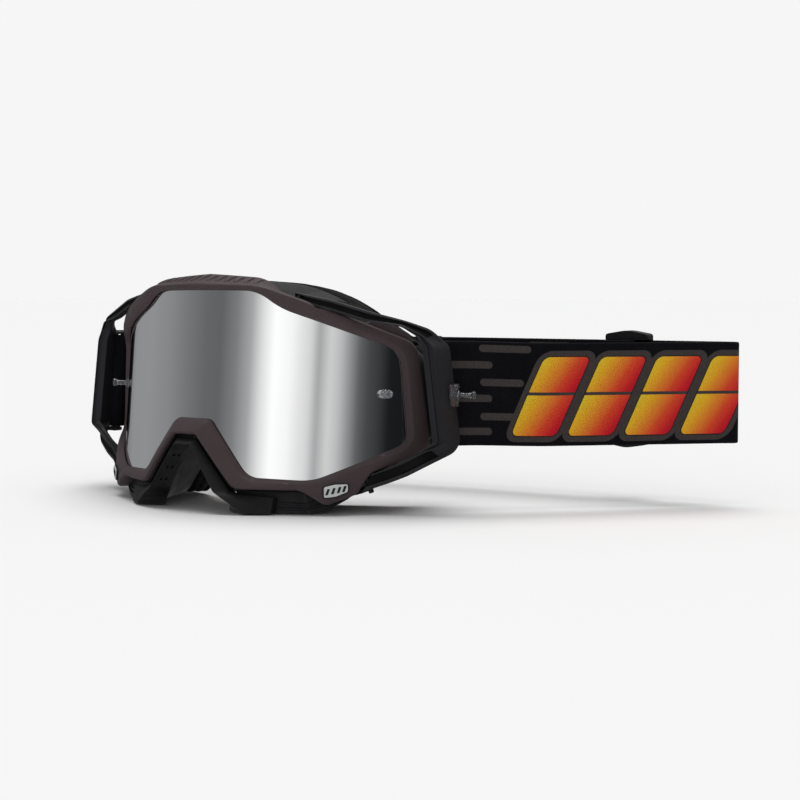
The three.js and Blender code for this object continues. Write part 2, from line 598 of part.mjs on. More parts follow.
// ---------------------------------------------------------------- adjuster
const SLIDER = { length: 20, height: 51.8, shoulder: 1.7 };
function slider() {
  const half = SLIDER.height / 2;
  const window = STRAP_W / 2 + 0.3;
  const outline = new THREE.Shape([
    [-SLIDER.length / 2, -half + SLIDER.shoulder], [0, -half], [SLIDER.length / 2, -half + SLIDER.shoulder],
    [SLIDER.length / 2, half - SLIDER.shoulder], [0, half], [-SLIDER.length / 2, half - SLIDER.shoulder],
  ].map(([x, z]) => new THREE.Vector2(x, z)));
  const outerFace = STRAP_T / 2 + GAP;
  const innerFace = -(layer + STRAP_T / 2 + GAP + SLIDER_BAR.thickness);
  const depth = outerFace + 1.8 - innerFace;
  const plate = new THREE.ExtrudeGeometry(outline, { depth, bevelEnabled: false })
    .rotateX(Math.PI / 2).translate(0, outerFace + 1.8, 0);
  const opening = box(SLIDER.length + 2, depth + 2, 2 * window, 0, innerFace + depth / 2, 0);
  const sideBar = (x) => box(3.4, 1.8, 2 * window + 1, x, outerFace + 0.9, 0);
  const middle = box(SLIDER_BAR.width, SLIDER_BAR.thickness, 2 * window + 1, 0, innerFace + SLIDER_BAR.thickness / 2, 0);
  return join(cut(plate, opening), sideBar(8.3), sideBar(-8.3), middle);
}

// ---------------------------------------------------------------- assembly
function piece(name, geometry, look) {
  const mesh = new THREE.Mesh(geometry, materials[look]);
  mesh.name = name;
  return mesh;
}

const shell = new THREE.Group(); // everything that leans back with the lens
shell.rotation.x = -LEAN;
shell.position.z = EYE_LEVEL;
shell.add(
  piece("front_frame", frontFrame(), "shell"),
  piece("rear_frame", rearFrame(), "black_plastic"),
  piece("lens", lens(), "lens"),
  piece("nose_guard", noseGuard(), "black_plastic"),
);
let foamStart = GAP;
for (const [name, thickness] of FOAM_LAYERS) {
  shell.add(piece(name, foamRing(foamStart, thickness), "foam"));
  foamStart += thickness;
}
const brow = ventFoam(2, [0.2, 0.92]);
for (const [side, sign] of [["left", 1], ["right", -1]]) {
  const facing = (geometry) => (sign > 0 ? geometry : mirrored(geometry));
  shell.add(
    piece(`lens_post_${side}`, lensPost(sign), "clear_post"),
    piece(`badge_${side}`, badge(sign), "badge"),
    piece(`brow_vent_foam_${side}`, facing(brow), "foam"),
  );
}

const harness = new THREE.Group(); // outriggers and strap stand level
const arm = outrigger();
const armPost = outriggerPost();
const pins = pivotPins();
for (const [side, sign] of [["left", 1], ["right", -1]]) {
  const facing = (geometry) => (sign > 0 ? geometry : mirrored(geometry));
  harness.add(
    piece(`outrigger_${side}`, facing(arm), "black_plastic"),
    piece(`outrigger_post_${side}`, facing(armPost), "clear_post"),
    piece(`pivot_pin_upper_${side}`, facing(pins[0]), "clear_post"),
    piece(`pivot_pin_lower_${side}`, facing(pins[1]), "clear_post"),
  );
}
harness.add(piece("strap_band", strapBand(), "strap"), piece("strap_return", strapReturn(), "strap"));
const adjuster = piece("strap_slider", slider(), "black_plastic");
adjuster.position.set(SLIDER_AT.x, SLIDER_AT.y, STRAP_Z - hang([SLIDER_AT.x, SLIDER_AT.y]).sag);
adjuster.rotation.z = runAngle;
harness.add(adjuster);

const goggles = new THREE.Group();
goggles.add(shell, harness);
const middle = new THREE.Box3().setFromObject(goggles, true).getCenter(new THREE.Vector3());
goggles.position.set(-middle.x, -middle.y, 0); // the origin is under the middle of the whole thing

export default goggles;
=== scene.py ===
"""Motocross goggles: the looks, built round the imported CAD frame.

Shapes are worked out in millimetres, in one of two sets of axes. The level axes have the
lens axis at x = y = 0 and the surface it all stands on at z = 0. The leaning axes are the
same turned back with the lens, with z = 0 at eye level.
"""
import json
import math

import bpy
import bmesh
import numpy as np
from mathutils import Matrix, Vector, noise


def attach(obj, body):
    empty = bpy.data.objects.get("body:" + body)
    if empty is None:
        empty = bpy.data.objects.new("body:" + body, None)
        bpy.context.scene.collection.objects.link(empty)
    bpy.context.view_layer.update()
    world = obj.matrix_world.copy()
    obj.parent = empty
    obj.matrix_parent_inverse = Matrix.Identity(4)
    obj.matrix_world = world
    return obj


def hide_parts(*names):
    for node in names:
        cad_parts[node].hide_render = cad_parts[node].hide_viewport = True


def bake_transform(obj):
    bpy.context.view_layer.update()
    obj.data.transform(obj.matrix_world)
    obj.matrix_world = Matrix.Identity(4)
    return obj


# ------------------------------------------------------------ sizes, in millimetres
EYE_LEVEL = 39.5
LEAN = math.radians(5.3)
LENS_R = 92.0
LENS_T = 1.2
GAP = 0.3
FRONT_R = 95.4
SEAM_R = 86.5
SHROUD_R = 90.0
FACE_Y = -66.0
FACE_CURVE = 168.0
STRAP_W = 43.0
STRAP_T = 1.5
STRAP_SAG = 1.0
STRAP_Z = 49.2
POST_R = 1.8
POST_IN = 7.6
POST_Y = -45.0
BAR_LEAN = 0.135
PIVOT_UPPER = np.array([43.0, -75.6, 87.4])
PIVOT_LOWER = np.array([69.0, -65.0, 14.0])
SWING_STEPS = (-6, -3, 0, 4, 8)
WEB_TOP = 72.6
WEB_FRONT, WEB_REAR = -50.4, -45.6

# ------------------------------------------------------------ the frame
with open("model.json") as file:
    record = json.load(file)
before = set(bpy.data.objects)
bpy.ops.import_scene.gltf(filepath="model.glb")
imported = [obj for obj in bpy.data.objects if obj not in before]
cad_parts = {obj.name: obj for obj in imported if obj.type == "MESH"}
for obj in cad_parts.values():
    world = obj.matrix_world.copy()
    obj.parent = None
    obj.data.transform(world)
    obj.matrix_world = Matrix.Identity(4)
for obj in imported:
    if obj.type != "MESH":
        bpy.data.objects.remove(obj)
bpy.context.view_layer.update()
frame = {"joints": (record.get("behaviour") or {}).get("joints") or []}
hinge = next(j["pos_m"] for j in frame["joints"] if j["name"] == "outrigger_left_swing")
ORIGIN = np.array([hinge[0] * 1000 - PIVOT_LOWER[0], hinge[1] * 1000 - PIVOT_LOWER[1], 0.0])


def level(points):
    """Millimetres in the level axes to metres in the row's frame."""
    return (np.asarray(points, float) + ORIGIN) / 1000


def leaning(points):
    """Millimetres in the leaning axes to metres in the row's frame."""
    p = np.asarray(points, float)
    x, y, z = p[..., 0], p[..., 1], p[..., 2]
    c, s = math.cos(LEAN), math.sin(LEAN)
    return level(np.stack([x, y * c + z * s, EYE_LEVEL + z * c - y * s], -1))


def into_leaning(points):
    """Level axes to leaning axes, both in millimetres."""
    p = np.asarray(points, float)
    x, y, z = p[..., 0], p[..., 1], p[..., 2] - EYE_LEVEL
    c, s = math.cos(LEAN), math.sin(LEAN)
    return np.stack([x, y * c - z * s, y * s + z * c], -1)


# ------------------------------------------------------------ camera
CAMERA_AT = (466.6, -611.2, 91.1)
CAMERA_TURN = 34.92
CAMERA_DOWN = 3.74
CAMERA_LENS = 74.88

camera = bpy.data.objects.new("camera", bpy.data.cameras.new("camera"))
bpy.context.scene.collection.objects.link(camera)
camera.data.lens = CAMERA_LENS
camera.data.sensor_width = 36
camera.location = level(CAMERA_AT)
turn, down = math.radians(CAMERA_TURN), math.radians(CAMERA_DOWN)
looking = Vector((-math.sin(turn) * math.cos(down), math.cos(turn) * math.cos(down), -math.sin(down)))
camera.rotation_euler = looking.to_track_quat("-Z", "Y").to_euler()
bpy.context.scene.camera = camera
bpy.context.scene.view_settings.view_transform = "Standard"


# ------------------------------------------------------------ meshes
def new_object(name, points, faces, sharp=32):
    """A smooth-shaded mesh from points in metres, its edges sharp above an angle in degrees."""
    mesh = bpy.data.meshes.new(name)
    mesh.from_pydata([tuple(p) for p in points], [], faces)
    turn_out(mesh)
    shade(mesh, sharp)
    piece = bpy.data.objects.new(name, mesh)
    bpy.context.scene.collection.objects.link(piece)
    return piece


def turn_out(mesh):
    tidy = bmesh.new()
    tidy.from_mesh(mesh)
    bmesh.ops.recalc_face_normals(tidy, faces=tidy.faces)
    tidy.to_mesh(mesh)
    tidy.free()


def shade(mesh, sharp):
    for polygon in mesh.polygons:
        polygon.use_smooth = True
    mesh.set_sharp_from_angle(angle=math.radians(sharp))


def loft_faces(count, n, ring, first=0):
    """Quads through count sections of n points, with a cap at each end unless it is a ring."""
    faces = []
    for i in range(count if ring else count - 1):
        a, b = first + i * n, first + ((i + 1) % count) * n
        faces += [(a + j, a + (j + 1) % n, b + (j + 1) % n, b + j) for j in range(n)]
    if not ring:
        faces.append(tuple(first + j for j in range(n)))
        faces.append(tuple(first + (count - 1) * n + j for j in range(n)))
    return faces


def loft(name, sections, place, ring=False, sharp=32):
    count, n = sections.shape[:2]
    return new_object(name, place(sections.reshape(-1, 3)), loft_faces(count, n, ring), sharp)


def softened(sections, radii, steps=4):
    """Rounds the corners of every section: one radius for each point of a section."""
    k = sections.shape[1]
    out = []
    for i, radius in enumerate(radii):
        corner, before, after = sections[:, i], sections[:, i - 1], sections[:, (i + 1) % k]
        if not radius:
            out.append(corner)
            continue
        ends = []
        for other in (before, after):
            way = other - corner
            length = np.linalg.norm(way, axis=1, keepdims=True)
            ends.append(corner + way * np.minimum(radius / np.maximum(length, 1e-9), 0.45))
        for t in np.linspace(0, 1, steps + 1):
            out.append((1 - t) ** 2 * ends[0] + 2 * t * (1 - t) * corner + t * t * ends[1])
    return np.stack(out, 1)


def combine(piece, tools, operation):
    """Cuts or joins closed meshes, and removes the tools."""
    for tool in tools:
        step = piece.modifiers.new("step", "BOOLEAN")
        step.operation = operation
        step.solver = "MANIFOLD"
        step.object = tool
    settle(piece)
    for tool in tools:
        bpy.data.objects.remove(tool)
    return piece


def settle(piece, sharp=32):
    """Applies the modifiers of a piece."""
    graph = bpy.context.evaluated_depsgraph_get()
    made = bpy.data.meshes.new_from_object(piece.evaluated_get(graph))
    piece.modifiers.clear()
    piece.data = made
    shade(made, sharp)
    return piece


def joined(name, pieces):
    """Several separate meshes as one piece."""
    points, faces, first = [], [], 0
    for piece in pieces:
        points += [tuple(v.co) for v in piece.data.vertices]
        faces += [tuple(first + i for i in polygon.vertices) for polygon in piece.data.polygons]
        first = len(points)
        bpy.data.objects.remove(piece)
    return new_object(name, points, faces)


def across(way):
    """Two directions square to a direction and to each other."""
    way = np.asarray(way, float) / np.linalg.norm(way)
    side = np.cross(way, [0, 0, 1] if abs(way[2]) < 0.9 else [1, 0, 0])
    side /= np.linalg.norm(side)
    return way, side, np.cross(way, side)


def turned(name, profile, start, way, place, sides=32, sharp=32):
    """A turned piece: profile is [radius, distance], and starts and ends away from the axis."""
    way, side, up = across(way)
    angles = np.linspace(0, 2 * math.pi, sides, endpoint=False)
    ring = np.cos(angles)[:, None] * side + np.sin(angles)[:, None] * up
    sections = np.stack([np.asarray(start, float) + way * d + ring * r for r, d in profile])
    return loft(name, sections, place, sharp=sharp)


def rounded_profile(profile, radius, steps=4):
    """Rounds the inner corners of a turned profile."""
    points = [np.array(p, float) for p in profile]
    out = [points[0]]
    for before, corner, after in zip(points, points[1:], points[2:]):
        a = corner + (before - corner) * min(0.45, radius / max(np.linalg.norm(before - corner), 1e-9))
        b = corner + (after - corner) * min(0.45, radius / max(np.linalg.norm(after - corner), 1e-9))
        out += [(1 - t) ** 2 * a + 2 * t * (1 - t) * corner + t * t * b for t in np.linspace(0, 1, steps + 1)]
    return out + [points[-1]]


def flipped(points):
    """The other side's place for points of the left side, in the level or leaning axes."""
    return np.asarray(points, float) * [-1, 1, 1]


def block(name, size, middle, place, turn_z=0.0, round_by=0.4):
    """A rounded block from its size and middle."""
    half = np.array(size, float) / 2
    corners = [(-1, -1), (1, -1), (1, 1), (-1, 1)]
    ring = np.array([[[x * half[0], y * half[1], 0] for x, y in corners]])
    flat = softened(ring, [round_by] * 4)[0]
    shrink = 1 - round_by / np.maximum(half[:2].min(), round_by * 1.5)
    rows = [(-1, shrink), (-1, 1), (1, 1), (1, shrink)]
    heights = [-half[2], -half[2] + round_by * 0.7, half[2] - round_by * 0.7, half[2]]
    sections = np.stack([flat * [k, k, 1] + [0, 0, z] for (_, k), z in zip(rows, heights)])
    c, s = math.cos(turn_z), math.sin(turn_z)
    sections = sections @ np.array([[c, s, 0], [-s, c, 0], [0, 0, 1]]) + np.asarray(middle, float)
    return loft(name, sections, place)


# ------------------------------------------------------------ outlines on the lens cylinder
# Half of each loop from the top centre to the bottom centre, as [s, z, rounding]: s runs
# round the lens at its own radius.
OPENING = [
    [0, 43.8, 0], [27.5, 43.8, 6.4], [38, 36.8, 5.6], [87.9, 22.2, 6], [93.8, -15.2, 5], [78, -22.3, 2.5],
    [68, -26.8, 2.5], [54.6, -32.7, 5], [46, -32.8, 2.5], [27.3, -32.8, 5], [8.6, -9.6, 2.2], [0, -9.6, 0],
]
FRONT_EDGE = [
    [0, 47.2, 0], [31, 46, 4.8], [38.5, 43.6, 2.6], [95, 25.6, 6], [103.3, -18, 5], [77.5, -28.8, 3],
    [72.7, -37.3, 2], [60.5, -42.5, 2], [49.8, -36.9, 2], [22.8, -38, 3], [5.6, -16.6, 1], [0, -16.6, 0],
]
BACK_EDGE = [
    [0, 51.2, 0], [29.5, 49.7, 6], [39.5, 41.6, 2.5], [95.5, 27, 6], [104, -18, 5], [77.5, -28.4, 3],
    [72.2, -36.9, 2], [60.5, -42, 2], [50.2, -36.4, 2], [23.2, -37.5, 3], [6, -16.2, 1], [0, -16.2, 0],
]
SHROUD_EDGE = [
    [0, 50, 0], [28.5, 48.5, 6], [39.5, 40.2, 2.5], [94.5, 25.8, 6], [102.8, -18.5, 5], [78, -30.5, 3],
    [71, -38.8, 2], [62, -44.2, 3], [52, -47.9, 3], [27.6, -47.9, 3], [6.2, -17, 1], [0, -17, 0],
]
FACE_EDGE = [
    [0, 50.6, 0], [31, 49, 6], [45, 44.2, 8], [77, 20, 8], [82, -8, 8], [72, -20, 3],
    [66, -26, 3], [60, -31, 3], [50, -38, 4], [30, -43.5, 5], [7, -17, 4], [0, -15.8, 0],
]
EYE_EDGE = [
    [0, 37.4, 0], [27, 36.2, 5], [39, 32.4, 7], [63.5, 14.6, 8], [69, -6, 8], [61.5, -13.5, 3],
    [57, -18, 2.2], [53.5, -21, 2.2], [46, -26.4, 4], [35.5, -30.4, 5], [13, -5.6, 4], [0, -3.6, 0],
]
EDGE_STEPS = [12, 4, 24, 8, 12, 4, 4, 4, 12, 12, 4]
ROUND_STEPS = 8


def towards(a, b, by):
    """Points moved by millimetres from one row of points towards another."""
    way = b - a
    return a + way * (by / np.linalg.norm(way, axis=-1, keepdims=True))


def outline(rows):
    """The points along a half outline with rounded corners, then its mirror image."""
    at = [np.array(row[:2], float) for row in rows]
    half = [at[0]]
    start = at[0]
    for i in range(1, len(rows)):
        corner, rounding = at[i], rows[i][2]
        enter = corner + (at[i - 1] - corner) / np.linalg.norm(at[i - 1] - corner) * rounding
        steps = EDGE_STEPS[i - 1]
        half += [start + (enter - start) * k / steps for k in range(1, steps + 1)]
        if i == len(rows) - 1:
            break
        leave = corner + (at[i + 1] - corner) / np.linalg.norm(at[i + 1] - corner) * rounding
        for k in range(1, ROUND_STEPS + 1):
            t = k / ROUND_STEPS
            half.append((1 - t) ** 2 * enter + 2 * t * (1 - t) * corner + t * t * leave)
        start = leave
    other = [p * [-1, 1] for p in half[-2:0:-1]]
    return np.array(half + other)


def stretch_end(row):
    return sum(EDGE_STEPS[:row + 1]) + ROUND_STEPS * row


def stretch_start(row):
    return stretch_end(row) - EDGE_STEPS[row]


def on_cylinder(p, r):
    angle = p[..., 0] / LENS_R
    return np.stack([r * np.sin(angle), -r * np.cos(angle), p[..., 1]], -1)


def on_face(p, back=0.0):
    return np.stack([p[..., 0], FACE_Y + p[..., 0] ** 2 / FACE_CURVE + back, p[..., 1]], -1)


def grown(points, by):
    along = np.roll(points, -1, 0) - np.roll(points, 1, 0)
    along /= np.linalg.norm(along, axis=1, keepdims=True)
    return points + np.stack([-along[:, 1], along[:, 0]], 1) * by


opening, front_edge, back_edge = outline(OPENING), outline(FRONT_EDGE), outline(BACK_EDGE)
shroud_edge, face_edge, eye_edge = outline(SHROUD_EDGE), outline(FACE_EDGE), outline(EYE_EDGE)


# ------------------------------------------------------------ outrigger plates
def bar_x(z):
    return 96.8 - BAR_LEAN * (z - STRAP_Z)


def bar_row(z):
    x = bar_x(z)
    return [[x, -54.3, z], [x + 0.2, -42, z], [x - 2.8, -42, z], [x - 5.8, -54.3, z]]


STRAP_TOP = STRAP_Z + STRAP_W / 2
STRAP_BOTTOM = STRAP_Z - STRAP_W / 2
# Outer front, outer rear, inner rear and inner front corner of the plate, along its length.
PLATE = np.array([
    [[41, -77, 88.4], [41, -76.5, 90.8], [39.2, -73.4, 90.8], [39.2, -73.6, 88.4]],
    [[48, -76.6, 85.8], [48, -75.8, 89.4], [46.2, -71.6, 89.4], [46.2, -72.2, 85.8]],
    [[57, -73.8, 83.4], [57, -72.8, 87.6], [55.2, -69.6, 87.6], [55.2, -70.4, 83.4]],
    [[71, -67.6, 78.8], [71, -66.2, 83], [68.8, -63, 83], [68.8, -64.6, 78.8]],
    [[83.5, -61.2, 77], [83.5, -59, 79.4], [80.6, -56, 79.2], [80.6, -58, 76.8]],
    [[90.4, -56, 72.8], [91.6, -52, 75.8], [88.2, -49.4, 75.4], [85.8, -54.4, 72.8]],
    bar_row(STRAP_TOP - 2), bar_row(STRAP_Z), bar_row(STRAP_BOTTOM + 2),
    [[97.6, -55.2, 28.5], [99.8, -46.4, 25.6], [96.8, -46, 26], [92.4, -54.4, 29.5]],
    [[91.4, -57.6, 26.4], [92.6, -55, 20.6], [89.8, -52.6, 20.8], [88.4, -55, 26.4]],
    [[84.4, -59.8, 22.4], [84.6, -59, 16], [82.2, -56.4, 16], [82, -57, 22.2]],
    [[77.4, -62.4, 19.2], [77.4, -61.8, 13], [75.2, -58.4, 13], [75, -58.8, 19]],
    [[71.8, -66, 16.8], [69.4, -68.6, 9.6], [66.4, -64.6, 9.8], [68.8, -62, 16.6]],
])


def kneed(rows, reach, step, count=5):
    """Straight stretches between rows, with each row's knee rounded over a short reach."""
    out = [rows[0]]
    for before, knee, after in zip(rows, rows[1:], rows[2:]):
        ends = []
        for other in (before, after):
            length = np.linalg.norm((other - knee).mean(0))
            ends.append(knee + (other - knee) * min(0.45, reach / length))
        fill = max(1, round(np.linalg.norm((ends[0] - out[-1]).mean(0)) / step))
        out += [out[-1] + (ends[0] - out[-1]) * k / fill for k in range(1, fill)]
        out += [(1 - t) ** 2 * ends[0] + 2 * t * (1 - t) * knee + t * t * ends[1] for t in np.linspace(0, 1, count)]
    return np.array(out + [rows[-1]])


def flowing(rows, step):
    """Rows in between, along one smooth line through every corner, at about this spacing."""
    rows = np.asarray(rows, float)
    flat = rows.reshape(len(rows), -1, rows.shape[-1])
    length = np.linalg.norm(np.diff(flat.mean(1), axis=0), axis=1)
    slope = np.diff(rows, axis=0) / length.reshape((-1,) + (1,) * (rows.ndim - 1))
    tangent = [slope[0]]
    for i in range(1, len(rows) - 1):
        before, after = length[i - 1], length[i]
        tangent.append((slope[i - 1] * after + slope[i] * before) / (before + after))
    tangent.append(slope[-1])
    out = [rows[0]]
    for i, span in enumerate(length):
        count = max(1, round(span / step))
        for k in range(1, count + 1):
            t = k / count
            out.append((2 * t**3 - 3 * t**2 + 1) * rows[i] + (t**3 - 2 * t**2 + t) * span * tangent[i]
                       + (3 * t**2 - 2 * t**3) * rows[i + 1] + (t**3 - t**2) * span * tangent[i + 1])
    return np.array(out)


def plate_solid(name, grow, degrees, mirror):
    """The plain plate, a little larger and turned on its hinge, for cutting room for it."""
    middle = PLATE.mean(1, keepdims=True)
    way = PLATE - middle
    rows = PLATE + way / np.linalg.norm(way, axis=2, keepdims=True) * grow
    axis = Vector(PIVOT_UPPER - PIVOT_LOWER).normalized()
    swing = np.array(Matrix.Rotation(math.radians(degrees), 3, axis))
    rows = (rows - PIVOT_LOWER) @ swing.T + PIVOT_LOWER
    return loft(name, flipped(rows) if mirror else rows, level)


def pin(name, upper, grow, mirror):
    at = PIVOT_UPPER if upper else PIVOT_LOWER
    above, below = (2, 3.6) if upper else (2.4, 5.4)
    axis = (PIVOT_UPPER - PIVOT_LOWER) / np.linalg.norm(PIVOT_UPPER - PIVOT_LOWER)
    start = at - axis * (below + grow)
    radius, length = 1.1 + grow, above + below + 2 * grow
    profile = [[radius - 0.3, 0], [radius, 0.3], [radius, length - 0.3], [radius - 0.3, length]]
    if mirror:
        start, axis = flipped(start), flipped(axis)
    return turned(name, profile, start, axis, level, sides=24)


ARM_BELOW, ARM_ABOVE = 27, 73  # heights where the lower arm ends and the upper one starts
RECESS = (0.1, 0.16, 0.66, 0.72)  # across the arms' outer face, from its lower edge
RECESS_DEPTH, CHANNEL_DEPTH = 0.8, 0.9
RECESS_COLUMNS = range(7, 22)  # of a section, that carry the painted shade down in the recess


def plate_profile(rows):
    """Sections of the visible plate: a recess down each arm, and a channel down the front."""
    outer_front, outer_rear, inner_rear, inner_front = (rows[:, k] for k in range(4))
    rear = towards(outer_front, outer_rear, 1.0) - outer_front
    face = [inner_front + (outer_front - inner_front) * t for t in (0.48, 0.52, 0.9, 0.94)]
    face[1] = face[1] + rear * CHANNEL_DEPTH
    face[2] = face[2] + rear * CHANNEL_DEPTH
    side = [outer_front + (outer_rear - outer_front) * t for t in RECESS]
    height = rows[:, :, 2].mean(1)
    on_arm = smooth_step(height, 70, 75) + 1 - smooth_step(height, 24, 30)
    inward = (towards(outer_rear, inner_rear, 1.0) - outer_rear) * on_arm[:, None] * RECESS_DEPTH
    side[1] = side[1] + inward
    side[2] = side[2] + inward
    sections = np.stack([outer_front, *side, outer_rear, inner_rear, inner_front, *face], 1)
    return softened(sections, [0.35, 0.12, 0.12, 0.12, 0.12, 0.7, 0.7, 0.7, 0.15, 0.2, 0.2, 0.15])


def outrigger(side, mirror):
    put = (lambda p: level(flipped(p))) if mirror else level
    sections = plate_profile(kneed(PLATE, 2.0, 3.0))
    plate = loft(f"outrigger_plate_{side}", sections, put)
    plate.data.materials.append(ARM_BLACK)
    plate.data.materials.append(PAINTED_SHADE_BLACK)
    # Faces down in the arms' recesses take the near-black second material: painted shade in the recess.
    for i, row in enumerate(sections[:-1]):
        if not ARM_BELOW < row[:, 2].mean() < ARM_ABOVE:
            for j in RECESS_COLUMNS:
                plate.data.polygons[i * len(row) + j].material_index = 1
    bridge_z = [STRAP_BOTTOM - 1.3, STRAP_TOP + 1.3]
    low, high = (np.array([bar_x(z) - POST_IN, POST_Y, z]) for z in bridge_z)
    length = np.linalg.norm(high - low)
    post = turned("post", [[POST_R, 0], [POST_R, length]], low, high - low, put)
    bridges = [block("bridge", (6.8, 4.2, 1.8), (bar_x(z) - 6, POST_Y, z), put) for z in bridge_z]
    web_z = (STRAP_TOP + 0.4 + WEB_TOP) / 2
    web_size = (6.8, WEB_REAR - WEB_FRONT, WEB_TOP - STRAP_TOP - 0.4)
    web = block("web", web_size, (bar_x(web_z) - 6, (WEB_REAR + WEB_FRONT) / 2, web_z), put, round_by=0.6)
    combine(plate, [post, *bridges, web], "UNION")
    return combine(plate, [pin("hole", upper, GAP, mirror) for upper in (True, False)], "DIFFERENCE")


# ------------------------------------------------------------ frame, foam and lens
NOSE_RISE, RISE_FROM, RISE_OVER = 3.7, 5.6, 40.0


def nose_rise(points):
    """How far the outer edge stands proud of its usual radius beside the nose."""
    rise = NOSE_RISE * np.clip(1 - (np.abs(points[:, 0]) - RISE_FROM) / RISE_OVER, 0, 1)
    return np.where(points[:, 1] > 0, 0, rise)


def front_frame():
    lip, rim, groove = (grown(opening, by) for by in (1.3, 1.0, 2.6))
    behind = LENS_R - LENS_T - GAP
    inside = towards(front_edge, opening, 0.9)
    rise = nose_rise(front_edge)
    sections = np.stack([
        on_cylinder(opening, LENS_R + 1.2),
        on_cylinder(lip, FRONT_R),
        on_cylinder((lip + inside) / 2, FRONT_R + 0.25 + rise / 2),
        on_cylinder(inside, FRONT_R + rise),
        on_cylinder(front_edge, FRONT_R - 1.2 + rise),
        on_cylinder((front_edge + back_edge) / 2, (FRONT_R - 1.2 + rise + SEAM_R) / 2 + 0.3),
        on_cylinder(back_edge, SEAM_R),
        on_cylinder(rim, SEAM_R),
        on_cylinder(rim, behind),
        on_cylinder(groove, behind),
        on_cylinder(groove, LENS_R + GAP),
        on_cylinder(opening, LENS_R + GAP),
    ], 1)
    sections = softened(sections, [0.4, 0.8, 0, 0.5, 0.5, 0, 0.3, 0, 0, 0, 0, 0.2])
    shell = combine(loft("front_shell", sections, leaning, ring=True), [hump(1), hump(-1)], "UNION")
    room = []
    for mirror in (False, True):
        room += [plate_solid("room", 0.5, degrees, mirror) for degrees in SWING_STEPS]
        room += [pin("room", upper, GAP, mirror) for upper in (True, False)]
    return combine(shell, room, "DIFFERENCE")


# A low hump on the frame's upper edge under the arm, as [s, lower, upper].
HUMP = np.array([[71, 30.5, 32.3], [75, 29.5, 33.6], [82, 27.5, 33.4], [89, 26, 30.8], [93, 25, 26.8]])
HUMP_FRONT, HUMP_REAR = FRONT_R - 2, SEAM_R + 1


def hump(side):
    s, low, high = HUMP.T
    corners = [(low, HUMP_FRONT), (high, HUMP_FRONT), (high, HUMP_REAR), (low, HUMP_REAR)]
    rows = np.stack([on_cylinder(np.stack([side * s, z], 1), r) for z, r in corners], 1)
    return loft("hump", kneed(softened(rows, [0, 0.6, 0.6, 0]), 1.2, 2.0), leaning)


def rear_frame():
    wall, seam = 2.0, SEAM_R - GAP
    along = np.minimum(np.arange(len(opening)), len(opening) - np.arange(len(opening)))
    shows = ((along >= stretch_start(6)) & (along <= stretch_start(10)))[:, None]
    step = np.where(shows, towards(front_edge, shroud_edge, GAP + 0.2), shroud_edge * 0.98 + opening * 0.02)
    shown = shows[:, 0]
    depth = np.where(shown, SHROUD_R, seam + 0.01)
    web = towards(opening, shroud_edge, 1.2)
    wall_front = towards(shroud_edge, opening, wall)
    angle_edge, angle_step = shroud_edge[:, 0] / LENS_R, step[:, 0] / LENS_R
    sections = np.stack([
        np.stack([depth * np.sin(angle_edge), -depth * np.cos(angle_edge), shroud_edge[:, 1]], 1),
        np.stack([depth * np.sin(angle_step), -depth * np.cos(angle_step), step[:, 1]], 1),
        on_cylinder(step, seam),
        on_cylinder(web, seam),
        on_cylinder(web, seam - wall),
        on_cylinder(wall_front, seam - wall),
        on_face(towards(face_edge, eye_edge, wall), -wall),
        on_face(eye_edge, -wall),
        on_face(eye_edge),
        on_face(face_edge),
    ], 1)
    sections = softened(sections, [0.5, 0.15, 0, 0.3, 0.3, 0.8, 0.8, 0.4, 0.4, 0.5])
    shell = loft("rear_shell", sections, leaning, ring=True)
    under = block("under", (500, 500, 60), (0, 0, -30), level, round_by=0.1)
    return combine(shell, [under], "DIFFERENCE")


LINER_IN, LINER_T = 0.25, 0.5


def notch_liner():
    """The black frame's thin lip along the coloured frame's nose notch, in near-black as painted shade for the dark
    gap there.
    """
    middle = len(opening) // 2
    reach = middle - stretch_start(8)
    rows = slice(middle - reach, middle + reach + 1)
    edge, inner, top = front_edge[rows], opening[rows], FRONT_R - 2.2 + nose_rise(front_edge[rows])
    near, far = (towards(edge, inner, -by) for by in (LINER_IN, LINER_IN + LINER_T))
    sections = np.stack([on_cylinder(near, top), on_cylinder(far, top), on_cylinder(far, SEAM_R + 0.1),
                         on_cylinder(near, SEAM_R + 0.1)], 1)
    return loft("notch_liner", softened(sections, [0.15, 0.15, 0, 0], 2), leaning)


def lens_sheet():
    edge = grown(opening, 2.2)
    half = edge[:len(edge) // 2 + 1]
    tip = int(np.argmax(half[:, 0]))
    upper, lower = half[:tip + 1], half[tip:][::-1]
    reach = half[tip, 0] - 0.3
    s = np.linspace(-reach, reach, 121)
    high = np.interp(np.abs(s), *np.maximum.accumulate(upper[:, :1], 0).T, upper[:, 1])
    order = np.argsort(lower[:, 0])
    low = np.interp(np.abs(s), lower[order, 0], lower[order, 1])
    front, back = [], []
    for t in np.linspace(0, 1, 13):
        p = np.stack([s, low + (high - low) * t], 1)
        front.append(on_cylinder(p, LENS_R))
        back.append(on_cylinder(p, LENS_R - LENS_T))
    return loft("lens_mirror", np.stack(front + back[::-1], 1), leaning, sharp=50)


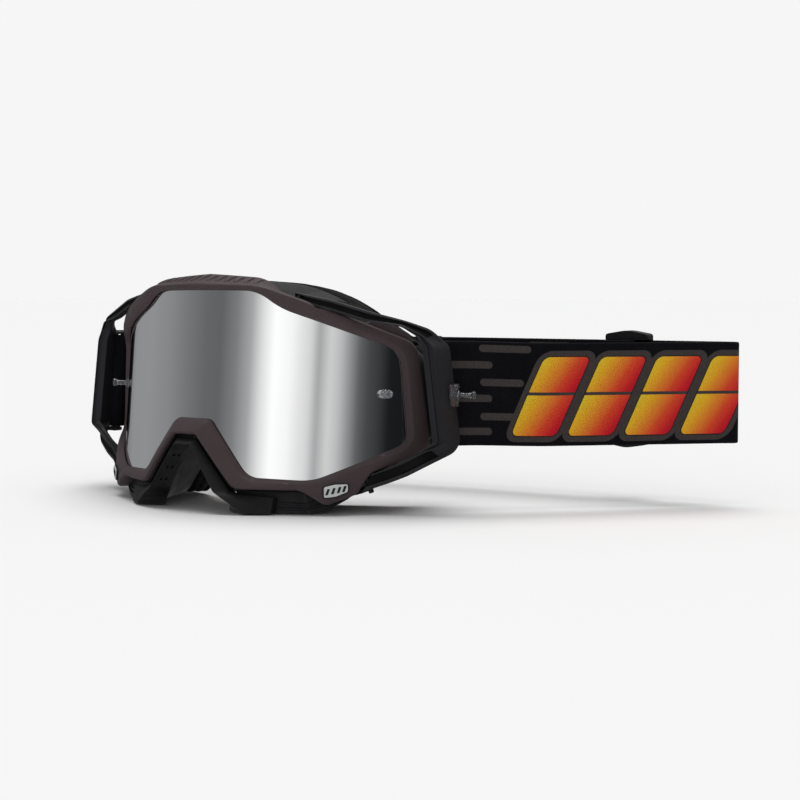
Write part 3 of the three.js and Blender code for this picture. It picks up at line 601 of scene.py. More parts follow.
def foam_layer(name, start, end, crown, coarse):
    """One layer of face foam: both edges bulge, and the surface is a little uneven."""
    outer, inner = face_edge, eye_edge
    middle = (outer + inner) / 2
    half = (start + end) / 2
    out_by, in_by = towards(outer, inner, -crown), towards(inner, outer, -crown)
    rows = [on_face(outer, start), on_face(out_by, half), on_face(outer, end)]
    rows += [on_face(outer * (1 - t) + inner * t, end + crown * 0.35) for t in (0.2, 0.35)]
    rows += [on_face(middle, end + crown * 0.4)]
    rows += [on_face(outer * (1 - t) + inner * t, end + crown * 0.35) for t in (0.65, 0.8)]
    rows += [on_face(inner, end), on_face(in_by, half), on_face(inner, start)]
    rows += [on_face(middle, start)]
    soft = min(1.6, (end - start) * 0.35)
    radii = [soft, soft, soft, 0, 0, 0, 0, 0, soft, soft, soft, 0]
    piece = loft(name, softened(np.stack(rows, 1), radii, 3), leaning, ring=True, sharp=60)
    roughen(piece, 0.12, coarse)
    return piece


def roughen(piece, depth, size):
    """Moves each point in or out by a seeded noise: depth and size in millimetres."""
    for vertex, normal in zip(piece.data.vertices, [v.normal.copy() for v in piece.data.vertices]):
        vertex.co += normal * (noise.noise(vertex.co * (1000 / size)) * depth / 1000)


def vent_foam(side, mirror):
    """The strip of filter foam on the outside of the black frame's wall, by the brow."""
    first, last = stretch_start(2), stretch_end(2)
    rows = slice(first, last + 1)

    def at(t, by):
        front = on_cylinder(towards(shroud_edge, opening, -by), SEAM_R - GAP)[rows]
        rear = on_face(towards(face_edge, eye_edge, -by))[rows]
        return front * (1 - t) + rear * t

    sections = np.stack([at(0.2, 0.1), at(0.2, 1.9), at(0.4, 2.9), at(0.66, 3.1), at(0.92, 2.5), at(0.92, 0.1)], 1)
    sections = softened(sections, [0.2, 0.7, 0, 0, 0.7, 0.2])
    put = (lambda p: leaning(flipped(p))) if mirror else leaning
    piece = loft(f"brow_filter_{side}", sections, put, sharp=60)
    roughen(piece, 0.25, 1.6)
    return piece


def brow_ridges():
    """Slanted raised strokes across the bevel over the lens."""
    middle = stretch_end(1)

    def facet(s, t, lift):
        def edge(points, r):
            upper = points[:middle]
            return on_cylinder(np.array([s, np.interp(abs(s), upper[:, 0], upper[:, 1])]), r)
        front, back = edge(front_edge, FRONT_R - 1.2), edge(back_edge, SEAM_R)
        out = np.array([math.sin(s / LENS_R) * 0.35, -math.cos(s / LENS_R) * 0.35, 0.94])
        crown = math.sin(math.pi * t) * 0.3
        return front + (back - front) * t + out * (lift + crown)

    strokes = []
    for k in range(-6, 7):
        rows = []
        for t, height in zip(np.linspace(0.14, 0.84, 9), (0, 0.3, 0.42, 0.45, 0.45, 0.45, 0.42, 0.3, 0)):
            s = k * 4.5 + 2.4 * (t - 0.5)
            wide = 1.3 if height else 1.0
            rows.append([
                facet(s - wide, t, -0.3), facet(s - wide * 0.7, t, height),
                facet(s + wide * 0.7, t, height), facet(s + wide, t, -0.3),
            ])
        strokes.append(loft("stroke", softened(np.array(rows), [0, 0.25, 0.25, 0], 3), leaning))
    return joined("brow_ridges", strokes)


# ------------------------------------------------------------ nose guard
# A row is a place on the guard's ridge and one on its outer edge, each as [x, z, radius], and
# the rear edge of its wall, as [x, how far behind the ridge].
GUARD_ROWS = [
    ((4.2, -20.6, 99.6), (5, -17.8, 96.6), (4.2, 9)), ((17.2, -39.4, 99.8), (21.9, -39, 95.4), (17.2, 13)),
    ((20.4, -41.4, 99.4), (26, -39.6, 94.6), (17.2, 11.6)), ((30, -47.4, 97.4), (34, -40, 93.6), (17.8, 7.6)),
    ((30.6, -47.4, 97.2), (34.3, -40, 93.6), (30.6, 2)), ((38.5, -47, 94.4), (38.5, -40.2, 93), (38.5, 1.8)),
]
GUARD_WALL, GUARD_PLATE, GUARD_CLEARANCE = 1.6, 1.5, 0.5
HOLE_R, HOLE_DEPTHS, HOLE_PLACES = 0.8, (4.4, 7.4), (0.27, 0.55, 0.83)


def guard_place(points):
    x, z, r = np.moveaxis(np.asarray(points, float), -1, 0)
    return np.stack([x, -np.sqrt(r * r - x * x), z], -1)


def guard_section(ridge, outer, rear):
    """The corners of a section, as [x, z, radius]."""
    ridge, outer = np.array(ridge, float), np.array(outer, float)
    way = outer - ridge
    way = way * [1, 1, 0] / np.linalg.norm(way[:2]) * GUARD_WALL
    back = np.array([rear[0], ridge[1], ridge[2] - rear[1]])
    inside = ridge + way - [0, 0, GUARD_WALL + GUARD_PLATE]
    return [ridge, back, back + way, inside, outer - [0, 0, GUARD_PLATE], outer]


def nose_guard():
    left = np.array([guard_section(*row) for row in GUARD_ROWS])
    rows = np.concatenate([(left * [-1, 1, 1])[::-1], left])
    rows = softened(guard_place(kneed(rows, 1.0, 2.0)), [0.45, 0.3, 0.3, 0.3, 0.3, 0.4], 3)
    guard = loft("nose_guard_shell", rows, leaning, sharp=25)
    under = block("under", (500, 500, 60), (0, 0, -30 + GUARD_CLEARANCE), level, round_by=0.1)
    start, end = (np.array(row[0], float) for row in GUARD_ROWS[:2])
    leg = (end - start)[:2] / np.linalg.norm((end - start)[:2])
    holes = []
    for side in (-1, 1):
        way = np.array([-leg[1] * side, 0, leg[0]])
        for depth in HOLE_DEPTHS:
            for t in HOLE_PLACES:
                x, z, r = start + (end - start) * t - [0, 0, depth]
                at = guard_place([side * x, z, r]) - way * 0.9
                holes.append(turned("hole", [[HOLE_R, 0], [HOLE_R, 3.2]], at, way, leaning, sides=16))
    return combine(guard, [under, joined("holes", holes)], "DIFFERENCE")


CHIN_LINES = ((-42.6, 0.5), (-44.6, 0.7))
CHIN_SPAN = (40.5, 63.0)


def chin_ridges():
    """Raised lines along the front of the black frame under the chin."""
    lines = []
    for side in (-1, 1):
        for z, proud in CHIN_LINES:
            s = side * np.linspace(*CHIN_SPAN, 24)
            drop = np.maximum(0, np.abs(s) - 52) * 0.34
            fade = np.clip((CHIN_SPAN[1] - np.abs(s)) / 3, 0.1, 1) * np.clip((np.abs(s) - CHIN_SPAN[0]) / 3, 0.1, 1)
            rows = [(-0.75, -0.3), (-0.35, proud), (0.35, proud), (0.75, -0.3)]
            rows = [on_cylinder(np.stack([s, z + drop + dz], 1), SHROUD_R + np.where(r > 0, r * fade, r)) for dz, r in rows]
            lines.append(loft("line", softened(np.stack(rows, 1), [0, 0.25, 0.25, 0], 2), leaning))
    return joined("chin_ridges", lines)


# ------------------------------------------------------------ posts and badge
HEAD = [[1.7, 0], [1.9, 0.3], [1.9, 1.1], [1.1, 1.7], [1.0, 5.2], [1.25, 5.5], [1.7, 6.1], [1.75, 6.9], [1.3, 7.4], [0.5, 7.5]]


def lens_post(side, sign):
    p = np.array([sign * 82.4, 4.3])
    foot = on_cylinder(p, LENS_R + 0.05)
    way = np.array([foot[0], foot[1], 0])
    return turned(f"tear_off_post_{side}", rounded_profile(HEAD, 0.3), foot, way, leaning, sides=40, sharp=50)


def outrigger_post(side, mirror):
    put = (lambda p: level(flipped(p))) if mirror else level
    z = 48.8
    x = bar_x(z)
    start = np.array([x + GAP + 0.4, -42.4, z])
    plate = block("plate", (1.2, 5.4, 9.4), (x + GAP + 0.6, -44.6, z), put, round_by=0.4)
    clips = [block("clip", (1.6, 2.2, 2.2), (x + GAP + 0.9, -43.2, z + dz), put, round_by=0.4) for dz in (-3.6, 3.6)]
    pin_profile = rounded_profile([[1.6, 0], [1.9, 0.4], [1.9, 1.2], [1.0, 1.8], [0.95, 5.6], [1.3, 6.1], [1.75, 6.9],
                                   [1.75, 7.5], [1.2, 8.1], [0.4, 8.2]], 0.3)
    stud = turned("stud", pin_profile, start, (0.9, 0.44, 0), put, sides=32)
    return joined(f"side_post_{side}", [plate, *clips, stud])


BADGE = np.array([[58.9, -34.8], [63.5, -33], [69.2, -32.9], [69.4, -36.2], [64.5, -38.9], [59.3, -39.5]])


def slab(name, corners, steps, place, rounding):
    """A thin plate on the lens cylinder: steps are [radius, how far the outline draws in]."""
    ring = np.array([[[*p, 0] for p in corners]])
    flat = softened(ring, [rounding] * len(corners))[0][:, :2]
    middle = flat.mean(0)
    way = middle - flat
    way /= np.linalg.norm(way, axis=1, keepdims=True)
    sections = np.stack([on_cylinder(flat + way * inset, r) for r, inset in steps])
    return loft(name, sections, place)


def badge(side, mirror):
    put = (lambda p: leaning(flipped(p))) if mirror else leaning
    base = slab(f"badge_rim_{side}", BADGE, [[FRONT_R + 0.05, 0], [FRONT_R + 0.8, 0], [FRONT_R + 1, 0.2]], put, 0.8)
    plate = slab(f"badge_plate_{side}", BADGE, [[FRONT_R + 0.5, 0.55], [FRONT_R + 1.1, 0.55], [FRONT_R + 1.2, 0.7]],
                 put, 0.8)
    bars = []
    for s in (61.1, 63.3, 65.5, 67.5):
        rise = 0.25 * (s - 64)
        corners = np.array([[s - 0.95, -37.3 + rise], [s + 0.05, -37.2 + rise], [s + 0.75, -34.7 + rise],
                            [s - 0.25, -34.8 + rise]])
        bars.append(slab("bar", corners, [[FRONT_R + 1.0, 0], [FRONT_R + 1.3, 0], [FRONT_R + 1.38, 0.1]], put, 0.15))
    return base, plate, joined(f"badge_bars_{side}", bars)


# ------------------------------------------------------------ strap
POST_X = bar_x(STRAP_Z) - POST_IN
WRAP_R = POST_R + GAP + STRAP_T / 2
LAYER = STRAP_T + 0.5
FOLD_X, FOLD_Y = 180.0, 46.8
NEAR_TURN = [[POST_X + WRAP_R + 0.2, -42], [POST_X + WRAP_R + 1.8, -38.4], [POST_X + WRAP_R + 5.4, -34.6]]
TAIL_TURN = [[POST_X - WRAP_R + 0.6, -41], [POST_X - 0.4, -37.4]]
FOLD_TURN = [[FOLD_X - 4.4, FOLD_Y - 3.4], [FOLD_X - 0.6, FOLD_Y - 0.4], [FOLD_X + 0.4, FOLD_Y + 1.6],
             [FOLD_X - 1.4, FOLD_Y + 3.2], [FOLD_X - 5.4, FOLD_Y + 3.2]]
RUN = [[158, 49.4], [82, 45.1]]
ROUTE = [[40, 42.4], [2, 36.8], [-34, 29], [-64, 17.5], [-83, 1], [-92, -18], [-93.4, -34],
         [-POST_X - WRAP_R, POST_Y]]
SLIDER_X = 130.0
JOIN_X = SLIDER_X - 8.3
RUN_ANGLE = math.atan2(RUN[0][1] - RUN[1][1], RUN[0][0] - RUN[1][0])


def on_run(x):
    return RUN[1][1] + (x - RUN[1][0]) * math.tan(RUN_ANGLE)


def wrap(side, count=10):
    angles = np.linspace(0, math.pi, count + 1)
    return [[side * (POST_X - WRAP_R * math.cos(a)), POST_Y - WRAP_R * math.sin(a)] for a in angles]


def between(a, b, shares):
    return [[a[0] + (b[0] - a[0]) * t, a[1] + (b[1] - a[1]) * t] for t in shares]


def plan_sides(path):
    along = np.gradient(path, axis=0)
    along /= np.linalg.norm(along, axis=1, keepdims=True)
    return np.stack([-along[:, 1], along[:, 0]], 1)


def smooth_step(value, low, high):
    t = np.clip((value - low) / (high - low), 0, 1)
    return t * t * (3 - 2 * t)


def webbing(name, controls, origin_at, sign=1, step=1.2):
    """A flat strap along control points in plan. It keeps each point's place on the strap in
    the attribute "weave": along from the outrigger, up from its middle, and how much of the
    print its side carries (1 for all of it, 0.6 for the bars alone, 0 for none)."""
    path = flowing(np.array(controls, float), step)
    sides = plan_sides(path)
    away = np.hypot(np.abs(path[:, 0]) - POST_X, path[:, 1] - POST_Y)
    lean = np.maximum(0, 1 - away / 45) * np.sign(path[:, 0])
    sag = STRAP_SAG * smooth_step(away, 10, 50)
    run = np.concatenate([[0], np.cumsum(np.linalg.norm(np.diff(path, axis=0), axis=1))])
    start = run[np.argmin(np.linalg.norm(path - np.array(origin_at), axis=1))]
    half, edge = STRAP_W / 2, 0.75
    inner_rows = np.linspace(-half + edge, half - edge, 13)
    rows = np.concatenate([[-half, -half + 0.1, -half + 0.35], inner_rows, [half - 0.35, half - 0.1, half]])
    depth = (STRAP_T / 2) * np.sqrt(1 - np.clip((np.abs(rows) - (half - edge)) / edge, 0, 1) ** 2)
    profile = [(-d, h) for d, h in zip(depth, rows)] + [(d, h) for d, h in zip(depth[-2:0:-1], rows[-2:0:-1])]
    sections = []
    for k, h in profile:
        x = path[:, 0] + k * sides[:, 0] - lean * BAR_LEAN * h
        y = path[:, 1] + k * sides[:, 1]
        sections.append(np.stack([x, y, STRAP_Z + h - sag], 1))
    piece = loft(name, np.stack(sections, 1), level, sharp=60)
    outside = 1.0 if sign > 0 else 0.6
    spots = np.array([[sign * (run[i] - start), h, outside if k < 0 else 0.0] for i in range(len(path)) for k, h in profile])
    weave = piece.data.attributes.new("weave", "FLOAT_VECTOR", "POINT")
    weave.data.foreach_set("vector", spots.astype(np.float32).ravel())
    piece["length_mm"] = float(run[-1])
    return piece


def beside(path, by):
    return np.array(path) + plan_sides(np.array(path, float)) * by


NEAR_STRAIGHT = between(NEAR_TURN[-1], FOLD_TURN[0], (0.04, 0.1, 0.35, 0.65, 0.9, 0.96))
RUN_STRAIGHT = [[x, on_run(x)] for x in (155, 150, 140, 130, JOIN_X)]


def strap_near():
    straight = np.array([NEAR_TURN[-1], NEAR_STRAIGHT[3]])
    start, onwards = beside(straight, LAYER)
    end = start + (onwards - start) * 0.34
    controls = [end, (start + end) / 2, start, *TAIL_TURN[::-1], *wrap(1), *NEAR_TURN, *NEAR_STRAIGHT, *FOLD_TURN,
                *RUN_STRAIGHT]
    return webbing("strap_near", controls, wrap(1)[-1])


def strap_far():
    controls = [[JOIN_X, on_run(JOIN_X)], [110, on_run(110)], [96, on_run(96)], RUN[1], *ROUTE[:-1], *wrap(-1)[::-1]]
    return webbing("strap_far", controls, wrap(-1)[-1], sign=-1)


def slider_spot(along, across_by):
    c, s = math.cos(RUN_ANGLE), math.sin(RUN_ANGLE)
    return [SLIDER_X + along * c - across_by * s, on_run(SLIDER_X) + along * s + across_by * c]


RETURN_JOIN = 60.0


def return_path():
    """The inner layer, from the right outrigger's post to the adjuster's middle bar."""
    outer = flowing(np.array([[x, on_run(x)] for x in (SLIDER_X, 110, 96)] + [RUN[1], *ROUTE], float), 4)
    inner = beside(outer, LAYER)
    inner = inner[inner[:, 0] < SLIDER_X - 6][::-1]
    clear = [p for p in inner if p[1] > POST_Y + 8]
    start = [wrap(-1)[0][0], POST_Y + 0.9]
    turn_r = (1.2 + 2 * GAP + STRAP_T) / 2
    curve = []
    for degrees in (90, 60, 30, 0, -30, -60, -90):
        a = math.radians(degrees)
        curve.append(slider_spot(2 + GAP + turn_r * math.cos(a), turn_r * math.sin(a) - turn_r - LAYER))
    tail = [slider_spot(x, -2 * turn_r - LAYER) for x in (-4, -12)]
    return np.array([start, [start[0] - 1, POST_Y + 5], *clear, *curve, *tail])


def strap_returns():
    path = return_path()
    cut_at = next(i for i, p in enumerate(path) if p[0] > RETURN_JOIN)
    origin_at = path[0]
    front = webbing("strap_return_front", path[:cut_at + 1], origin_at)
    rear = webbing("strap_return_rear", path[cut_at:], path[cut_at])
    return front, rear


def slider():
    """The adjuster: two plates joined by two outer bars and the middle bar the strap turns on."""
    half, window = 25.9, STRAP_W / 2 + 0.08
    outer = STRAP_T / 2 + GAP
    inner = -(LAYER + STRAP_T / 2 + GAP + 1.2)
    depth = outer + 1.8 - inner
    put = lambda p: level(spun(p))
    ends = []
    for sign in (-1, 1):
        corners = [[-10, window], [10, window], [10, half - 1.7], [0, half], [-10, half - 1.7]]
        flat = softened(np.array([[[x, sign * z, 0] for x, z in corners]]), [0.5, 0.5, 1.2, 2.5, 1.2])[0]
        rows = [(inner + 0.02, 0.96), (inner + 0.4, 1.0), (outer + 1.4, 1.0), (outer + 1.8, 0.96)]
        middle = flat.mean(0)
        shape = np.stack([
            np.stack([(flat[:, 0] - middle[0]) * k + middle[0], np.full(len(flat), y),
                      (flat[:, 1] - middle[1]) * k + middle[1]], 1) for y, k in rows
        ])
        ends.append(loft("end", shape, put))
    tall = 2 * window + 1.4
    bars = [block("bar", (3.4, 1.8, tall), (x, outer + 0.9, 0), put, round_by=0.5) for x in (-8.3, 8.3)]
    bars.append(block("bar", (4, 1.2, tall), (0, inner + 0.6, 0), put, round_by=0.4))
    body = ends[0]
    body.name = "adjuster"
    return combine(body, [ends[1], *bars], "UNION")


def spun(points):
    """The adjuster's own axes to the level axes."""
    c, s = math.cos(RUN_ANGLE), math.sin(RUN_ANGLE)
    p = np.asarray(points, float) @ np.array([[c, s, 0], [-s, c, 0], [0, 0, 1]])
    return p + [SLIDER_X, on_run(SLIDER_X), STRAP_Z - STRAP_SAG]


# ------------------------------------------------------------ materials
class Finish:
    """A material and short ways to add nodes to it."""

    def __init__(self, name, **settings):
        self.material = bpy.data.materials.new(name)
        self.material.use_nodes = True
        self.tree = self.material.node_tree
        self.shader = self.tree.nodes["Principled BSDF"]
        for socket, value in settings.items():
            self.shader.inputs[socket.replace("_", " ")].default_value = value
        self.place = self.add("ShaderNodeTexCoord").outputs["Object"]

    def add(self, kind, **settings):
        node = self.tree.nodes.new(kind)
        for key, value in settings.items():
            setattr(node, key, value)
        return node

    def feed(self, socket, value):
        if isinstance(value, bpy.types.NodeSocket):
            self.tree.links.new(value, socket)
        else:
            socket.default_value = value

    def math(self, operation, *values, clamp=False):
        node = self.add("ShaderNodeMath", operation=operation, use_clamp=clamp)
        for socket, value in zip(node.inputs, values):
            self.feed(socket, value)
        return node.outputs[0]

    def noise(self, size, detail=3.0, vector=None):
        """Noise whose features are this many millimetres across."""
        node = self.add("ShaderNodeTexNoise")
        node.inputs["Scale"].default_value = 1000 / size
        node.inputs["Detail"].default_value = detail
        self.feed(node.inputs["Vector"], vector or self.place)
        return node.outputs["Fac"]

    def cells(self, size):
        node = self.add("ShaderNodeTexVoronoi")
        node.inputs["Scale"].default_value = 1000 / size
        self.feed(node.inputs["Vector"], self.place)
        return node.outputs["Distance"]

    def spread(self, value, low, high, to_low, to_high):
        node = self.add("ShaderNodeMapRange", clamp=True)
        for socket, v in zip(node.inputs, (value, low, high, to_low, to_high)):
            self.feed(socket, v)
        return node.outputs[0]

    def blend(self, share, a, b):
        node = self.add("ShaderNodeMix", data_type="RGBA")
        self.feed(node.inputs["Factor"], share)
        self.feed(node.inputs[6], a)
        self.feed(node.inputs[7], b)
        return node.outputs[2]

    def colour(self, value):
        self.feed(self.shader.inputs["Base Color"], value)

    def roughness(self, value):
        self.feed(self.shader.inputs["Roughness"], value)

    def bump(self, height, depth, strength=1.0):
        """Bump whose full height is this many millimetres deep."""
        node = self.add("ShaderNodeBump")
        node.inputs["Strength"].default_value = strength
        node.inputs["Distance"].default_value = depth / 1000
        self.feed(node.inputs["Height"], height)
        self.feed(self.shader.inputs["Normal"], node.outputs["Normal"])


def paint(red, green, blue, share=1.0):
    """A display colour, 0 to 255, as the shader's own linear one."""
    def linear(v):
        v = v / 255
        return v / 12.92 if v <= 0.04045 else ((v + 0.055) / 1.055) ** 2.4
    return (linear(red) * share, linear(green) * share, linear(blue) * share, 1.0)


def plastic(name, rgb, rough, grain, grain_depth, edge_wear_and_highlight=0.25, gloss=0.25, **settings):
    """Moulded plastic: a fine grain, slow changes of shade and gloss, and paler edges that are part wear and part
    painted highlight.
    """
    m = Finish(name, Specular_IOR_Level=gloss, **settings)
    slow = m.noise(14, 4)
    shade_of = m.blend(slow, paint(*rgb, 0.86), paint(*rgb, 1.14))
    # Paler sharp edges: part wear, part a painted highlight along the edges.
    point = m.add("ShaderNodeNewGeometry").outputs["Pointiness"]
    edge = m.spread(point, 0.53, 0.62, 0.0, edge_wear_and_highlight)
    worn_and_highlit_edge = m.math("MULTIPLY", edge, m.spread(m.noise(1.6, 4), 0.35, 0.65, 0.3, 1.0))
    m.colour(m.blend(worn_and_highlit_edge, shade_of, paint(*[min(255, v + 70) for v in rgb])))
    fine = m.noise(grain, 2)
    m.roughness(m.spread(m.noise(5, 5), 0.3, 0.7, rough - 0.06, rough + 0.07))
    m.bump(m.math("ADD", fine, m.math("MULTIPLY", m.noise(2.2, 3), 0.6)), grain_depth)
    return m.material


def foam_finish(name, rgb, cell, depth):
    """Open-cell foam: small pores, darkened inside with painted shade, and a soft sheen."""
    m = Finish(name, Sheen_Weight=0.02, Sheen_Roughness=0.6, Specular_IOR_Level=0.05)
    pores = m.cells(cell)
    mottled = m.blend(m.noise(3, 4), paint(*rgb, 0.7), paint(*rgb, 1.35))
    # Painted shade: the colour darkens towards the middle of each pore.
    deep = m.spread(pores, 0.0, 0.75, 1.0, 0.0)
    m.colour(m.blend(m.math("MULTIPLY", deep, 0.7), mottled, paint(*rgb, 0.3)))
    m.roughness(m.spread(m.noise(1.2), 0.3, 0.7, 0.88, 1.0))
    m.bump(m.math("ADD", pores, m.math("MULTIPLY", m.noise(cell / 2, 3), 0.7)), depth)
    return m.material


def mirror_finish():
    m = Finish("lens_mirror", Metallic=1.0, Specular_IOR_Level=0.5)
    m.colour(m.blend(m.noise(40, 2), (0.88, 0.885, 0.89, 1), (0.93, 0.93, 0.93, 1)))
    m.roughness(m.spread(m.noise(22, 5), 0.35, 0.75, 0.03, 0.075))
    return m.material


def clear_finish():
    """Clear moulded plastic with a little haze."""
    m = Finish("clear_plastic", Transmission_Weight=0.9, IOR=1.5)
    m.colour(m.blend(m.noise(3, 4), (0.34, 0.35, 0.37, 1), (0.6, 0.61, 0.63, 1)))
    m.roughness(m.spread(m.noise(0.8, 4), 0.3, 0.7, 0.03, 0.1))
    m.bump(m.noise(0.8, 3), 0.01)
    return m.material


def metal_finish(name, rgb, rough):
    m = Finish(name, Metallic=0.9)
    m.colour(m.blend(m.noise(3, 4), paint(*rgb, 0.75), paint(*rgb, 1.1)))
    m.roughness(m.spread(m.noise(0.8, 4), 0.3, 0.7, rough - 0.06, rough + 0.1))
    m.bump(m.noise(0.5, 3), 0.02)
    return m.material


# The strap's print: rounded streaks, then a row of slanted bars with a split through them.
STREAKS = [(18.5, 39.6, 18.6), (4, 23.6, 11.8), (18.1, 36.4, 4.6), (4, 22.8, -2.0), (17.3, 34.4, -9.5), (4, 22, -15.6)]
STREAK_R = 1.5
SLANT = 0.45
BAR_FIRST, BAR_PITCH, BAR_COUNT = 48.0, 24.5, 4
BAR_HALF, BAR_TALL, BAR_MID, BAR_ROUND = 9.9, 16.4, -0.8, 2.6
SPLIT_H, SPLIT_HALF = 0.3, 0.65
RIM = 2.6


def webbing_finish():
    """Woven elastic in black, with the print on its outside."""
    m = Finish("woven_strap", Sheen_Weight=0.02, Sheen_Roughness=0.5, Specular_IOR_Level=0.1)
    spot = m.add("ShaderNodeAttribute", attribute_name="weave").outputs["Vector"]
    apart = m.add("ShaderNodeSeparateXYZ")
    m.feed(apart.inputs[0], spot)
    u, h, outside = apart.outputs

    ribs = m.math("SINE", m.math("MULTIPLY", h, 2 * math.pi / 1.1))
    picks = m.math("SINE", m.math("MULTIPLY", u, 2 * math.pi / 0.9))
    weave = m.math("MULTIPLY_ADD", m.math("MULTIPLY", ribs, picks), 0.5, 0.5)
    fuzz = m.noise(0.6, 3)
    # Painted shade: the cloth is darker in the weave's dips and paler on its raised threads.
    cloth = m.blend(weave, paint(7, 7, 10), paint(19, 19, 24))
    cloth = m.blend(m.spread(m.noise(9, 3), 0.35, 0.7, 0, 0.3), cloth, paint(24, 24, 30))

    nearest = None
    for first, last, height in STREAKS:
        middle, half = (first + last) / 2, (last - first) / 2 - STREAK_R
        along = m.math("MAXIMUM", m.math("SUBTRACT", m.math("ABSOLUTE", m.math("SUBTRACT", u, middle)), half), 0)
        up = m.math("SUBTRACT", h, height)
        far = m.math("SQRT", m.math("ADD", m.math("MULTIPLY", along, along), m.math("MULTIPLY", up, up)))
        nearest = far if nearest is None else m.math("MINIMUM", nearest, far)
    streak = m.spread(nearest, STREAK_R - 0.12, STREAK_R + 0.12, 1, 0)
    streak = m.math("MULTIPLY", streak, m.math("GREATER_THAN", outside, 0.8))

    leaned = m.math("SUBTRACT", u, m.math("MULTIPLY", h, SLANT))
    number = m.math("ROUND", m.math("DIVIDE", m.math("SUBTRACT", leaned, BAR_FIRST), BAR_PITCH))
    number = m.math("MINIMUM", m.math("MAXIMUM", number, 0), BAR_COUNT - 1)
    local = m.math("SUBTRACT", leaned, m.math("MULTIPLY_ADD", number, BAR_PITCH, BAR_FIRST))
    wide = m.math("SUBTRACT", m.math("ABSOLUTE", local), BAR_HALF - BAR_ROUND)
    tall = m.math("SUBTRACT", m.math("ABSOLUTE", m.math("SUBTRACT", h, BAR_MID)), BAR_TALL - BAR_ROUND)
    over = [m.math("MAXIMUM", side, 0) for side in (wide, tall)]
    round_part = m.math("SQRT", m.math("ADD", *[m.math("MULTIPLY", v, v) for v in over]))
    edge = m.math("ADD", round_part, m.math("MINIMUM", m.math("MAXIMUM", wide, tall), 0))
    edge = m.math("SUBTRACT", edge, BAR_ROUND)
    rim = m.spread(edge, RIM - 0.12, RIM + 0.12, 1, 0)
    inside = m.spread(edge, -0.12, 0.1, 1, 0)
    line = m.math("MULTIPLY", m.spread(edge, -0.1, 0.12, 0, 1), m.spread(edge, 0.3, 0.5, 1, 0))
    from_split = m.math("ABSOLUTE", m.math("SUBTRACT", h, SPLIT_H))
    inside = m.math("MULTIPLY", inside, m.spread(from_split, SPLIT_HALF - 0.1, SPLIT_HALF + 0.1, 0, 1))

    share = m.spread(local, -BAR_HALF, BAR_HALF, 0, 0.82)
    falling = m.math("FRACT", m.math("DIVIDE", m.math("SUBTRACT", SPLIT_H, h), BAR_TALL + 1.2))
    heat = m.math("MULTIPLY_ADD", falling, 0.22, share, clamp=True)
    ramp = m.add("ShaderNodeValToRGB")
    stops = [(0, (238, 208, 52)), (0.22, (243, 186, 40)), (0.45, (238, 140, 46)), (0.68, (230, 78, 44)),
             (0.88, (216, 36, 42)), (1, (200, 18, 40))]
    for element in range(len(stops) - 2):
        ramp.color_ramp.elements.new(0.5)
    for element, (position, rgb) in zip(ramp.color_ramp.elements, stops):
        element.position = position
        element.color = paint(*rgb)
    m.feed(ramp.inputs[0], heat)

    grey = m.blend(m.noise(1.5, 3), paint(60, 54, 53), paint(74, 68, 67))
    # Painted shade: the print darkens in the same weave dips.
    print_weave_shade = m.spread(weave, 0, 1, 0.84, 1.0)
    printed = m.blend(m.math("MAXIMUM", streak, rim), cloth, grey)
    printed = m.blend(line, printed, paint(38, 26, 22))
    flame = m.add("ShaderNodeVectorMath", operation="SCALE")
    m.feed(flame.inputs[0], ramp.outputs[0])
    m.feed(flame.inputs["Scale"], print_weave_shade)
    printed = m.blend(inside, printed, flame.outputs[0])
    outer = m.math("GREATER_THAN", outside, 0.5)
    m.colour(m.blend(outer, cloth, printed))
    covered = m.math("MULTIPLY", m.math("MAXIMUM", m.math("MAXIMUM", streak, rim), inside), outer)
    m.roughness(m.spread(covered, 0, 1, 0.92, 0.62))
    m.bump(m.math("ADD", weave, m.math("MULTIPLY", fuzz, 0.5)), 0.12)
    return m.material


def thread_finish():
    m = Finish("thread", Sheen_Weight=0.3)
    m.colour(m.blend(m.noise(0.5), paint(22, 22, 26), paint(46, 46, 52)))
    m.roughness(m.spread(m.noise(0.4), 0.3, 0.7, 0.6, 0.85))
    m.bump(m.noise(0.25), 0.05)
    return m.material


SHELL = plastic("satin_shell", (76, 65, 67), 0.46, 0.5, 0.012, edge_wear_and_highlight=0.25, gloss=0.12)
BLACK = plastic("moulded_black", (29, 29, 32), 0.46, 0.45, 0.02, edge_wear_and_highlight=0.2, gloss=0.2)
ARM_BLACK = plastic("arm_black", (43, 43, 46), 0.46, 0.45, 0.02, edge_wear_and_highlight=0.2, gloss=0.2)
# Near-black for painted shade: the arms' recesses and the gap in the nose notch.
PAINTED_SHADE_BLACK = plastic("painted_shade_black", (11, 11, 12), 0.6, 0.45, 0.02, edge_wear_and_highlight=0.05, gloss=0.15)
GUARD_BLACK = plastic("soft_black", (24, 24, 26), 0.55, 0.4, 0.025, edge_wear_and_highlight=0.2)
MIRROR = mirror_finish()
SMOKE = plastic("smoked_back", (22, 23, 26), 0.14, 3, 0.001, edge_wear_and_highlight=0)
FOAM_BASE = foam_finish("foam_base", (34, 34, 33), 0.9, 0.3)
FOAM_MIDDLE = foam_finish("foam_middle", (48, 48, 48), 0.8, 0.3)
FLEECE = foam_finish("foam_fleece", (28, 28, 30), 0.45, 0.2)
FILTER = foam_finish("foam_filter", (48, 48, 42), 0.85, 0.35)
CLEAR = clear_finish()
STEEL = metal_finish("dark_pin", (44, 44, 46), 0.35)
WHITE = plastic("badge_white", (214, 216, 216), 0.35, 0.6, 0.008, edge_wear_and_highlight=0)
INK = plastic("badge_ink", (28, 28, 30), 0.45, 0.5, 0.01, edge_wear_and_highlight=0)
WOVEN = webbing_finish()
THREAD = thread_finish()


